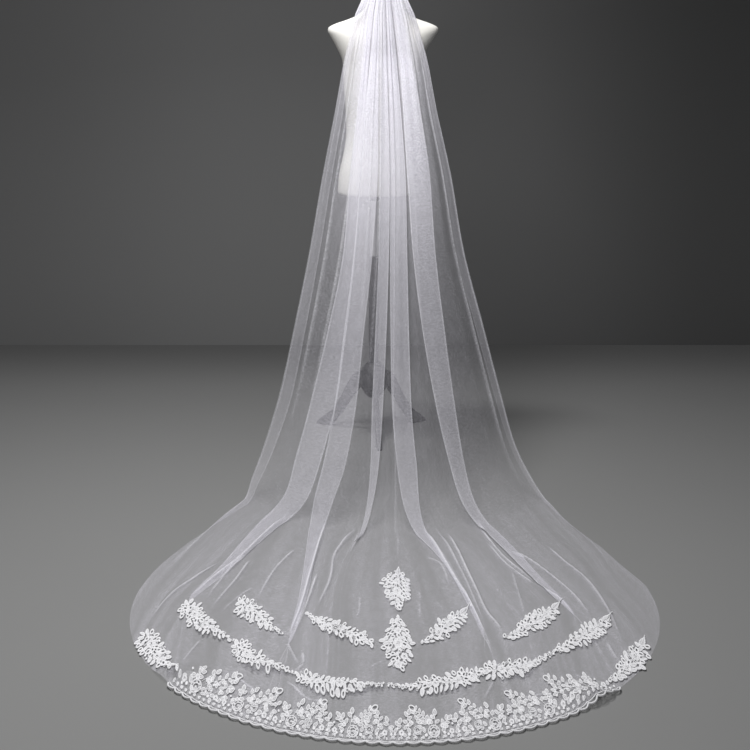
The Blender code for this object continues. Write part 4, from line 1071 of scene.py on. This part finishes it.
def buildSpray(name, spray):
    patch, layout = Patch(name), layouts[spray.layout]
    draw, drawn, rooms = patch.random.uniform, lace["drawn"], lace["rooms"]
    line = [stemPoint(spray, t) for t in np.linspace(0.0, 1.0, 18)]
    patch.cord([(x, y) for x, y, _ in line], lace["stem"])
    long = sum(math.hypot(a[0] - b[0], (a[1] - b[1]) / drawn) for a, b in zip(line, line[1:]))
    taken = []

    def at(along, aside):
        x, y, heading = stemPoint(spray, 1 - along if spray.turned else along)
        heading += math.pi if spray.turned else 0.0
        return x - math.sin(heading) * aside, y + math.cos(heading) * aside * drawn, heading

    def room(x, y, size):
        return all(math.hypot(x - a, (y - b) / drawn) > size + other for a, b, other in taken)

    for along, aside, size, petals in layout["flowers"]:
        x, y, _ = at(along, aside * spray.half)
        patch.flower(x, y, size, draw(0, 1), petals)
        taken.append((x, y, rooms["flower"] * size))
    for along, aside, size in layout.get("roses", ()):
        x, y, heading = at(along, aside * spray.half)
        patch.rose(x, y, size, heading)
        taken.append((x, y, rooms["rose"] * size))
    for along, aside, turn, size in layout["tips"]:
        x, y, heading = at(along, aside * spray.half)
        way = heading + math.radians(turn)
        patch.put("tip", x, y, way, size, 0.0004)
        for share in (0.25, 0.55, 0.85):
            reach = 0.024 * size * share
            taken.append((x + reach * math.cos(way), y + reach * math.sin(way) * drawn, rooms["tip"]))
    # leaves, from the stem outwards, wherever there is room
    stops = np.linspace(0.0, 1.0, len(layout["left"]))
    steps = max(6, round(long / 0.003))
    thinnest, widest = lace["beadWidths"]
    for rank in range(8):
        for k in range(steps):
            for side, edge in ((1, layout["left"]), (-1, layout["right"])):
                along = (k + 0.5) / steps
                wide = float(np.interp(along, stops, edge)) * spray.half
                aside = lace["firstRank"] + rank * lace["rankStep"]
                ragged = aside > wide - lace["ragged"]
                if rank > 0 and (aside > wide - 0.0005 or ragged and draw(0, 1) < lace["bare"]):
                    continue
                x, y, heading = at(along, side * aside)
                x, y = x + draw(-0.0008, 0.0008), y + draw(-0.0016, 0.0016)
                if wide < widest:
                    if wide > thinnest and room(x, y, rooms["bead"]):
                        patch.put("bead", x, y, heading + side * 0.6, draw(0.75, 0.95), 0.0005)
                        taken.append((x, y, lace["taken"]["bead"]))
                    continue
                if not room(x, y, lace["spacing"] / 2):
                    continue
                lean = math.radians(draw(8, 58) + 45 * aside / spray.half)
                fannedOut = along < 0.16 and spray.layout in ("fanned", "swag")
                way = heading + side * (math.pi - lean if fannedOut else lean)
                kind = patch.random.choice(("full", "full", "slim", "loop", "loop"))
                size = draw(0.82, 1.02) * (0.80 if wide < 0.009 else 1.0)
                back = lace["leafMiddle"] * size
                patch.put(kind, x - back * math.cos(way), y - back * math.sin(way) * drawn, way, size,
                          draw(0.0, 0.0009))
                taken.append((x, y, lace["spacing"] / 2 * size))
    # small loops and beads in the gaps between the leaves
    for rank in range(9):
        for k in range(steps):
            for side, edge in ((1, layout["left"]), (-1, layout["right"])):
                along, aside = (k + 0.25) / steps, lace["fineStart"] + rank * lace["fineStep"]
                if aside > float(np.interp(along, stops, edge)) * spray.half - 0.0030:
                    continue
                x, y, _ = at(along, side * aside)
                if room(x, y, rooms["ring"]):
                    kind = patch.random.choice(("scallop", "scallop", "bead"))
                    patch.put(kind, x, y, draw(0, 6), draw(0.75, 1.0), 0.0004)
                    taken.append((x, y, lace["taken"]["ring"]))
    for start, end in layout["scallops"]:
        count = max(2, round((end - start) * long / lace["scallopStep"]))
        for k in range(count):
            x, y, heading = at(start + (end - start) * (k + 0.5) / count, 0.0018 * (-1) ** k)
            patch.put("scallop", x, y, heading, 1.0, 0.0003)
    piece = patch.lay()
    piece.name = f"{name}_lace"
    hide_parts(name)
    return piece


hem = {
    "turns": (math.radians(-50.0), math.radians(48.0)),
    "strips": 4, "repeats": 2, "scallops": 5,
    "overhang": 0.014, "edgeDepth": 0.004, "edgeCord": 0.0022, "innerCord": 0.0014,
    "edgeLeaves": 18, "columns": 128, "rows": 4,
    "ground": ((0.00, 0.060), (0.12, 0.080), (0.24, 0.104), (0.45, 0.125), (0.62, 0.132),
               (0.72, 0.112), (0.86, 0.084), (1.00, 0.060)),
    # roses: along, depth, size; flowers: along, depth, size, petals; beads: along, depth, size
    "roses": ((0.36, 0.036, 1.05), (0.62, 0.045, 0.72)),
    "flowers": ((0.08, 0.034, 0.55, 5), (0.87, 0.036, 0.58, 5), (0.19, 0.060, 0.45, 5)),
    "beads": ((0.21, 0.024, 1.1), (0.50, 0.018, 1.2), (0.755, 0.024, 1.2), (0.97, 0.024, 1.0),
              (0.76, 0.062, 0.8), (0.02, 0.060, 0.8), (0.145, 0.018, 0.9), (0.53, 0.068, 0.9)),
    # branches: along and depth of the root, a middle and the tip, pairs of leaves, what stands at the top
    "branches": ((0.40, 0.058, 0.47, 0.108, 0.62, 0.146, 4, "netLoop"),
                 (0.30, 0.060, 0.28, 0.085, 0.245, 0.112, 1, "net"),
                 (0.22, 0.054, 0.14, 0.078, 0.045, 0.094, 2, "net"),
                 (0.74, 0.050, 0.76, 0.080, 0.72, 0.108, 2, "net"),
                 (0.92, 0.044, 0.93, 0.062, 0.905, 0.080, 1, "net")),
    # single leaves: along, depth, turn in degrees from along the hem, size
    "sprigs": ((0.43, 0.070, 150, 0.95), (0.52, 0.058, 20, 0.95), (0.50, 0.082, -10, 0.85),
               (0.23, 0.036, 160, 0.9), (0.50, 0.036, 80, 0.85), (0.73, 0.036, 60, 0.9),
               (0.82, 0.050, 120, 0.85), (0.11, 0.050, 70, 0.85), (0.98, 0.036, 110, 0.85),
               (0.66, 0.072, 45, 0.9), (0.34, 0.070, 60, 0.9), (0.37, 0.082, 130, 0.85),
               (0.28, 0.030, 20, 0.8), (0.45, 0.026, 160, 0.8), (0.56, 0.030, 30, 0.8),
               (0.69, 0.026, 150, 0.8), (0.79, 0.024, 20, 0.8), (0.03, 0.024, 150, 0.8),
               (0.57, 0.090, 70, 0.85), (0.60, 0.078, 140, 0.8)),
}


def hemPoint(turn, depth):
    # place at a turn on the hem's ellipse, moved inwards by a depth, and the heading inwards
    last = stations[-1]
    mid, half, long = (last.left + last.right) / 2, (last.right - last.left) / 2, last.middle - last.side
    nx, nb = math.sin(turn) / half, math.cos(turn) / long
    size = math.hypot(nx, nb)
    x = mid + half * math.sin(turn) - nx / size * depth
    b = last.side + long * math.cos(turn) - nb / size * depth
    return x, poleY - b, math.atan2(nb, -nx)


def buildHemStrip(number):
    span = (hem["turns"][1] - hem["turns"][0]) / hem["strips"]
    patch = Patch(f"hem_lace_strip_{number + 1}")
    start, each = hem["turns"][0] + span * number, span / hem["repeats"]
    mirrored = number >= hem["strips"] / 2          # the pattern turns round at the middle of the train
    draw = patch.random.uniform
    for repeat in range(hem["repeats"]):
        left = start + each * repeat

        def at(along, depth):
            return hemPoint(left + each * (1 - along if mirrored else along), depth)

        def heading(inwards, turn):
            # turn counts from along the hem (0) to inwards (90)
            return squeezed(inwards) + math.radians(90 - turn if mirrored else turn - 90)

        for along, depth, size in hem["roses"]:
            x, y, inwards = at(along + draw(-0.015, 0.015), depth + draw(-0.002, 0.002))
            patch.rose(x, y, size * draw(0.95, 1.05), inwards)
        for along, depth, size, petals in hem["flowers"]:
            x, y, _ = at(along, depth)
            patch.flower(x, y, size, draw(0, 1), petals)
        for along, depth, size in hem["beads"]:
            x, y, inwards = at(along + draw(-0.01, 0.01), depth)
            patch.put("bead", x, y, inwards, size, 0.0006)
        for along, depth, alongBend, depthBend, alongTip, depthTip, pairs, top in hem["branches"]:
            grow = draw(0.90, 1.08)
            bend, tip = at(alongBend, depthBend * grow), at(alongTip, depthTip * grow)
            line = smoothLine([at(along, depth)[:2], bend[:2], tip[:2]], 5)
            patch.cord([tuple(p) for p in line], lace["stitch"])
            count = 2 * pairs
            for k in range(count):
                spot = round((k + 0.8) / (count + 0.4) * (len(line) - 2))
                place, after = line[spot], line[spot + 1]
                way = squeezed(math.atan2(after[1] - place[1], after[0] - place[0]))
                way += (1 if k % 2 else -1) * math.radians(draw(46, 66))
                patch.put("net", *place, way, draw(0.78, 1.0), draw(0, 0.0006))
            way = squeezed(math.atan2(line[-1][1] - line[-3][1], line[-1][0] - line[-3][0]))
            patch.put(top, *line[-2], way, draw(1.0, 1.15), 0.0006)
            if top == "netLoop":
                for turn in (-75, 75):
                    patch.put("net", *line[-2], way + math.radians(turn), 0.8, 0.0003)
        for along, depth, turn, size in hem["sprigs"]:
            x, y, inwards = at(along, depth)
            patch.put("net", x, y, heading(inwards, turn + draw(-12, 12)), size, draw(0, 0.0005))
        for k in range(hem["edgeLeaves"]):
            x, y, inwards = at((k + 0.5) / hem["edgeLeaves"], 0.0075 + 0.004 * (k % 2))
            patch.put("net", x, y, heading(inwards, 62 if k % 2 else 118), draw(0.42, 0.55), 0.0002)
    turns = np.linspace(start, start + span, hem["columns"] + 1)
    phase = (turns - hem["turns"][0]) / (each / hem["scallops"])
    wave = np.abs(np.sin(math.pi * phase)) ** 0.75
    swell = 0.45 + 0.55 * wave              # how far the edge reaches out, scallop by scallop
    for out, radius in ((hem["overhang"] - 0.0026, hem["edgeCord"]), (0.0030, hem["innerCord"])):
        depths = hem["edgeDepth"] - (out + 0.002) * swell
        patch.cord([hemPoint(turn, depth)[:2] for turn, depth in zip(turns, depths)], radius)
    ground = bmesh.new()
    bmesh.ops.create_grid(ground, x_segments=hem["columns"], y_segments=hem["rows"], size=1.0)
    layer = openness(ground)
    crest = np.array(hem["ground"])
    for vert in ground.verts:
        k = round((vert.co.x + 1) / 2 * hem["columns"])
        share = (vert.co.y + 1) / 2
        along = ((turns[k] - start) / each) % 1.0
        crestDepth = np.interp(1 - along if mirrored else along, crest[:, 0], crest[:, 1]) - 0.012
        edgeDepth = hem["edgeDepth"] - hem["overhang"] * swell[k]
        vert.co = (*hemPoint(turns[k], edgeDepth + (crestDepth - edgeDepth) * share)[:2], -0.0003)
    for face in ground.faces:
        face[layer] = lace["groundOpen"]
    mesh = meshFrom(ground, "hem_ground")
    patch.bm.from_mesh(mesh)
    bpy.data.meshes.remove(mesh)
    piece = patch.lay()
    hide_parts(f"hem_lace_{number + 1}")
    return piece


laces = [buildSpray(name, spray) for name, spray in sprays.items()]
laces += [buildHemStrip(number) for number in range(hem["strips"])]
print("lace sewn on:", sum(len(p.vertices) - 2 for o in laces for p in o.data.polygons), "triangles")

# dress form: height, half width, depth behind the pole and in front of it
formRings = (
    (0.863, 0.130, 0.098, 0.092), (0.872, 0.134, 0.102, 0.096), (0.930, 0.131, 0.101, 0.094),
    (1.000, 0.118, 0.091, 0.086), (1.060, 0.112, 0.085, 0.084), (1.130, 0.115, 0.087, 0.094),
    (1.200, 0.123, 0.092, 0.108), (1.260, 0.128, 0.096, 0.112), (1.310, 0.133, 0.096, 0.108),
    (1.350, 0.152, 0.092, 0.100), (1.385, 0.173, 0.084, 0.089), (1.405, 0.185, 0.074, 0.078),
    (1.418, 0.182, 0.066, 0.070), (1.430, 0.158, 0.061, 0.065), (1.442, 0.122, 0.058, 0.061),
    (1.454, 0.093, 0.057, 0.059), (1.470, 0.070, 0.057, 0.058), (1.485, 0.061, 0.057, 0.058),
    (1.500, 0.058, 0.058, 0.058), (1.556, 0.058, 0.058, 0.058), (1.560, 0.056, 0.056, 0.056),
)
form = {"x": -0.045, "lean": 0.040, "bottom": 0.863, "leanTop": 1.450, "neck": 0.058,
        "sides": 72, "between": 3}


def formMiddle(z):
    return form["x"] + form["lean"] * (min(z, form["leanTop"]) - form["bottom"])


def buildForm():
    bm = bmesh.new()
    places = np.linspace(0, len(formRings) - 1, (len(formRings) - 1) * form["between"] + 1)
    rings = []
    for at in places:
        z, half, back, front = smoothAt(formRings, at)
        power = 2.0 + 0.5 * min(max((half - form["neck"]) / 0.05, 0.0), 1.0)
        ring_ = bmesh.ops.create_circle(bm, cap_ends=False, segments=form["sides"], radius=1.0)["verts"]
        for vert in ring_:
            angle = math.atan2(vert.co.y, vert.co.x)
            c, s = math.cos(angle), math.sin(angle)
            deep = back if s < 0 else front
            vert.co = (formMiddle(z) + math.copysign(abs(c) ** (2 / power), c) * half,
                       poleY + math.copysign(abs(s) ** (2 / power), s) * deep, z)
        rings.append(ring_)
    for low, high in zip(rings, rings[1:]):
        edges = [e for r in (low, high) for v in r for e in v.link_edges if e.other_vert(v) in set(r)]
        bmesh.ops.bridge_loops(bm, edges=list(set(edges)))
    for ring_ in (rings[0], rings[-1]):
        bmesh.ops.contextual_create(bm, geom=ring_)
    bmesh.ops.recalc_face_normals(bm, faces=bm.faces[:])
    piece = newObject("form_cover", meshFrom(bm, "form_cover", True, 55), jerseyFinish)
    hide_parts("form_body")


buildForm()
print("dress form covered")

# stand
stand = {
    "tubeRadius": 0.0175, "tubeTop": 0.642, "poleRadius": 0.0125,
    "collarRadius": 0.020, "collarHeight": 0.025,
    "hub": ((0.0, 0.128), (0.010, 0.1282), (0.018, 0.130), (0.024, 0.1335), (0.030, 0.140),
            (0.0355, 0.148), (0.040, 0.157), (0.0445, 0.1635), (0.0465, 0.168), (0.047, 0.172),
            (0.047, 0.220), (0.0462, 0.2245), (0.0438, 0.230), (0.040, 0.238), (0.0352, 0.2442),
            (0.030, 0.250), (0.026, 0.2545), (0.023, 0.258), (0.0215, 0.259), (0.0, 0.259)),
    "turn": math.radians(-5.0), "reach": 0.230, "legThick": 0.017, "legRounding": 0.0025,
    # a leg's outline seen from its side: out from the pole, up
    "legUpper": ((0.0473, 0.218), (0.062, 0.220), (0.085, 0.199), (0.107, 0.162), (0.130, 0.118),
                 (0.155, 0.080), (0.173, 0.056), (0.200, 0.034), (0.217, 0.021), (0.230, 0.008)),
    "legLower": ((0.172, 0.0), (0.158, 0.014), (0.145, 0.033), (0.117, 0.068), (0.097, 0.102),
                 (0.069, 0.139), (0.056, 0.157), (0.0473, 0.168)),
}


def lathe(name, profile, material, sides, node):
    # a profile of (radius, height) turned round the pole's axis
    bm = bmesh.new()
    verts = [bm.verts.new((radius, 0.0, z)) for radius, z in profile]
    edges = [bm.edges.new(pair) for pair in zip(verts, verts[1:])]
    bmesh.ops.spin(bm, geom=verts + edges, cent=(0, 0, 0), axis=(0, 0, 1), angle=2 * math.pi,
                   steps=sides, use_merge=True, use_duplicate=False)
    bmesh.ops.remove_doubles(bm, verts=bm.verts[:], dist=0.00001)
    bmesh.ops.recalc_face_normals(bm, faces=bm.faces[:])
    bmesh.ops.translate(bm, verts=bm.verts[:], vec=(poleX, poleY, 0.0))
    piece = newObject(name, meshFrom(bm, name, True, 40), material)
    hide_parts(node)


def rod(name, radius, low, high, chamfer, material, node):
    profile = ((0.0, low), (radius - chamfer, low), (radius, low + chamfer), (radius, high - chamfer),
               (radius - chamfer, high), (0.0, high))
    lathe(name, profile, material, 40, node)


def buildLeg(number):
    # a flat curved bar with a pointed toe, pressed from thick plate
    thick = stand["legThick"]
    outline = [*smoothLine(stand["legUpper"], 3), (stand["reach"], 0.0), *smoothLine(stand["legLower"], 3)]
    bm = bmesh.new()
    side = bm.faces.new([bm.verts.new((reach, -thick / 2, z)) for reach, z in outline])
    made = bmesh.ops.extrude_face_region(bm, geom=[side])["geom"]
    far = [v for v in made if isinstance(v, bmesh.types.BMVert)]
    bmesh.ops.translate(bm, verts=far, vec=(0.0, thick, 0.0))
    bmesh.ops.recalc_face_normals(bm, faces=bm.faces[:])
    rims = [edge for edge in bm.edges if abs(edge.verts[0].co.y - edge.verts[1].co.y) < seamGap]
    bevelled(bm, rims, stand["legRounding"], 3)
    turned = -math.pi / 2 - stand["turn"] - 2 * math.pi * number / 3
    bmesh.ops.rotate(bm, verts=bm.verts[:], cent=(0, 0, 0), matrix=Matrix.Rotation(turned, 3, "Z"))
    bmesh.ops.translate(bm, verts=bm.verts[:], vec=(poleX, poleY, 0.0))
    leg = newObject(f"leg_{number + 1}", meshFrom(bm, f"leg_{number + 1}", True, 40), blackFinish)
    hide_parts(f"stand_leg_{number + 1}")


def buildStand():
    hubTop, tubeTop = stand["hub"][-1][1], stand["tubeTop"]
    collarLow = form["bottom"] - stand["collarHeight"]
    rod("tube", stand["tubeRadius"], hubTop + seamGap, tubeTop, 0.001, blackFinish, "stand_tube")
    rod("pole", stand["poleRadius"], tubeTop + seamGap, collarLow - seamGap, 0.0005, chromeFinish,
        "stand_pole")
    rod("collar", stand["collarRadius"], collarLow, form["bottom"] - seamGap, 0.0012, blackFinish,
        "stand_collar")
    lathe("hub", stand["hub"], blackFinish, 56, "stand_hub")
    for number in range(3):
        buildLeg(number)


buildStand()
print("stand made")

# comb and the ribbon that binds the gathers to it
comb = {"thick": 0.0026, "height": 0.009, "top": 1.5575, "halfAngle": math.radians(46.0), "teeth": 13,
        "toothLong": 0.042, "toothWide": 0.0038, "rounding": 0.0007, "toothRounding": 0.0005}
ribbon = {"out": 0.0108, "thick": 0.0012, "height": 0.011, "inset": 0.010, "stitches": 22}


def buildComb():
    radius = form["neck"] + seamGap
    middle = formMiddle(comb["top"])
    bm = bmesh.new()
    corners = ((0, 0), (0, comb["height"]), (comb["thick"], comb["height"]), (comb["thick"], 0))
    section = [bm.verts.new((0.0, -radius - depth, comb["top"] - drop)) for depth, drop in corners]
    face = bm.faces.new(section)
    bmesh.ops.rotate(bm, verts=section, cent=(0, 0, 0), matrix=Matrix.Rotation(-comb["halfAngle"], 3, "Z"))
    bmesh.ops.spin(bm, geom=[face], cent=(0, 0, 0), axis=(0, 0, 1), angle=2 * comb["halfAngle"], steps=40,
                   use_duplicate=False)
    bmesh.ops.recalc_face_normals(bm, faces=bm.faces[:])
    rims = [e for e in bm.edges if e.calc_face_angle(0) > 0.8]
    bevelled(bm, rims, comb["rounding"], 2)
    for k in range(comb["teeth"]):
        angle = comb["halfAngle"] * (2 * k / (comb["teeth"] - 1) - 1) * 0.96
        made = bmesh.ops.create_cube(bm, size=1.0)["verts"]
        for vert in made:
            low = vert.co.z < 0
            vert.co = (vert.co.x * comb["toothWide"] * (0.5 if low else 1.0),
                       -radius - comb["thick"] / 2 + vert.co.y * comb["thick"] * (0.7 if low else 0.96),
                       comb["top"] - comb["height"] + 0.0004 - (comb["toothLong"] if low else 0.0))
        edges = list({e for v in made for e in v.link_edges})
        bmesh.ops.rotate(bm, verts=made, cent=(0, 0, 0), matrix=Matrix.Rotation(angle, 3, "Z"))
        bevelled(bm, edges, comb["toothRounding"], 2)
    bmesh.ops.translate(bm, verts=bm.verts[:], vec=(middle, poleY, 0.0))
    bmesh.ops.recalc_face_normals(bm, faces=bm.faces[:])
    piece = newObject("comb", meshFrom(bm, "comb", True, 35), combFinish)
    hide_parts("veil_comb")


def buildRibbon():
    across, down = 176, 8
    bm = bmesh.new()
    bmesh.ops.create_grid(bm, x_segments=across, y_segments=down, size=1.0)
    for vert in bm.verts:
        u, share = vert.co.x, (1 - vert.co.y) / 2
        row = rowAt(ribbon["height"] * share / (stations[0].z - stations[1].z))
        half = (row.right - row.left) / 2 - ribbon["inset"]
        stitch = abs(math.cos(math.pi * ribbon["stitches"] * (u + 1) / 2)) ** 6
        pulled = stitch * math.exp(-((share - 0.82) / 0.10) ** 2)
        out = ribbon["out"] + 0.0006 * math.sin(math.pi * share) - 0.0006 * pulled
        vert.co = rowPoints(row, np.array([(row.right + row.left) / 2 + half * u]), np.array([out]))[0]
    bm.normal_update()
    piece = newObject("ribbon_binding", meshFrom(bm, "ribbon_binding"), satinFinish)
    wall = piece.modifiers.new("Wall", "SOLIDIFY")
    wall.thickness, wall.offset = ribbon["thick"] * 0.8, 0.0
    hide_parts("veil_binding")
    return piece


buildComb()
binding = buildRibbon()
print("comb and ribbon made")

# floor, backdrop, light and camera
view = {"x": -0.05, "back": 4.7086, "height": 1.5, "down": 15.317, "lens": 65.41}
stage = {
    "floorColour": (0.226, 0.226, 0.224), "floorSize": 60.0,
    "wallColour": (0.235, 0.235, 0.235), "wallBehind": 2.30, "wallSize": (40.0, 6.0),
    "worldColour": (0.075, 0.077, 0.081),
    # painted shade: the floor darkens towards the foot of the wall; the wall carries a painted pool of
    # light left of the middle and darkens to the right, the far left and towards its top
    "floorShades": (("Y", 1.55, 2.30, 1.0, 0.74),),
    "wallShades": (("X", -1.7, -0.6, 0.84, 1.0), ("X", -0.2, 1.5, 1.0, 0.45), ("Z", 0.2, 1.5, 1.0, 0.84)),
}


def plainSurface(name, colour, shades):
    # one plain colour with painted shade that darkens it softly by the given places: axis, from, to, shade
    # from, shade to
    material, tree, shader = newMaterial(name, colour, 0.9, Specular_IOR_Level=0.1)
    place = objectPlace(tree)
    axes = tree.nodes.new("ShaderNodeSeparateXYZ")
    tree.links.new(place, axes.inputs[0])
    factor = mapNode(tree, noiseNode(tree, place, 0.8, 2.0), 0.0, 1.0, 0.97, 1.03)
    for axis, start, end, shadeStart, shadeEnd in shades:
        shade = mapNode(tree, axes.outputs[axis], start, end, shadeStart, shadeEnd)
        factor = mathNode(tree, "MULTIPLY", factor, shade)
    tree.links.new(mixColour(tree, factor, (0, 0, 0, 1), (*colour, 1)), shader.inputs["Base Color"])
    return material, tree, shader


def buildBackdrop():
    bm = bmesh.new()
    bmesh.ops.create_grid(bm, x_segments=1, y_segments=1, size=stage["floorSize"] / 2)
    floor = bpy.data.objects.new("floor", meshFrom(bm, "floor", False))
    material, _, _ = plainSurface("studio floor", stage["floorColour"], stage["floorShades"])
    floor.data.materials.append(material)
    wide, tall = stage["wallSize"]
    bm = bmesh.new()
    made = bmesh.ops.create_grid(bm, x_segments=1, y_segments=1, size=0.5)["verts"]
    bmesh.ops.scale(bm, verts=made, vec=(wide, tall, 1.0))
    bmesh.ops.rotate(bm, verts=made, cent=(0, 0, 0), matrix=Matrix.Rotation(math.pi / 2, 3, "X"))
    bmesh.ops.translate(bm, verts=made, vec=(0.0, stage["wallBehind"], tall / 2))
    wall = bpy.data.objects.new("wall", meshFrom(bm, "wall", False))
    material, tree, shader = plainSurface("studio wall", stage["wallColour"], stage["wallShades"])
    # the wall is only there for what stands in front of it
    behind = tree.nodes.new("ShaderNodeNewGeometry").outputs["Backfacing"]
    tree.links.new(mathNode(tree, "SUBTRACT", 1.0, behind), shader.inputs["Alpha"])
    wall.data.materials.append(material)
    for piece in (floor, wall):
        bpy.context.scene.collection.objects.link(piece)


def softbox(name, place, target, size, power):
    light = bpy.data.lights.new(name, "AREA")
    light.shape, light.size, light.size_y = "RECTANGLE", size[0], size[1]
    light.energy = power
    holder = bpy.data.objects.new(name, light)
    holder.location = place
    holder.rotation_euler = (Vector(target) - Vector(place)).to_track_quat("-Z", "Y").to_euler()
    bpy.context.scene.collection.objects.link(holder)


def buildStage():
    buildBackdrop()
    softbox("overhead softbox", (-0.5, -0.6, 2.9), (-0.5, -0.6, 0.0), (1.3, 1.3), 52.0)
    softbox("high back light", (-0.4, 0.8, 3.0), (-0.1, -2.6, 0.0), (0.45, 0.45), 42.0)
    softbox("front fill", (-0.8, -3.4, 2.3), (-0.1, 0.9, 1.2), (1.5, 1.5), 32.0)
    softbox("back fill", (1.6, 4.6, 2.6), (0.0, 0.6, 0.7), (1.6, 1.6), 9.0)
    world = bpy.data.worlds.new("studio")
    world.use_nodes = True
    world.node_tree.nodes["Background"].inputs["Color"].default_value = (*stage["worldColour"], 1)
    bpy.context.scene.world = world


def buildCamera():
    data = bpy.data.cameras.new("camera")
    data.sensor_width, data.lens = 36.0, view["lens"]
    holder = bpy.data.objects.new("camera", data)
    holder.location = (view["x"], poleY - view["back"], view["height"])
    holder.rotation_euler = (math.radians(90 - view["down"]), 0.0, 0.0)
    bpy.context.scene.collection.objects.link(holder)
    bpy.context.scene.camera = holder


buildStage()
buildCamera()
scene = bpy.context.scene
scene.view_settings.view_transform = "Standard"
scene.cycles.transparent_max_bounces = 32
print("stage set")
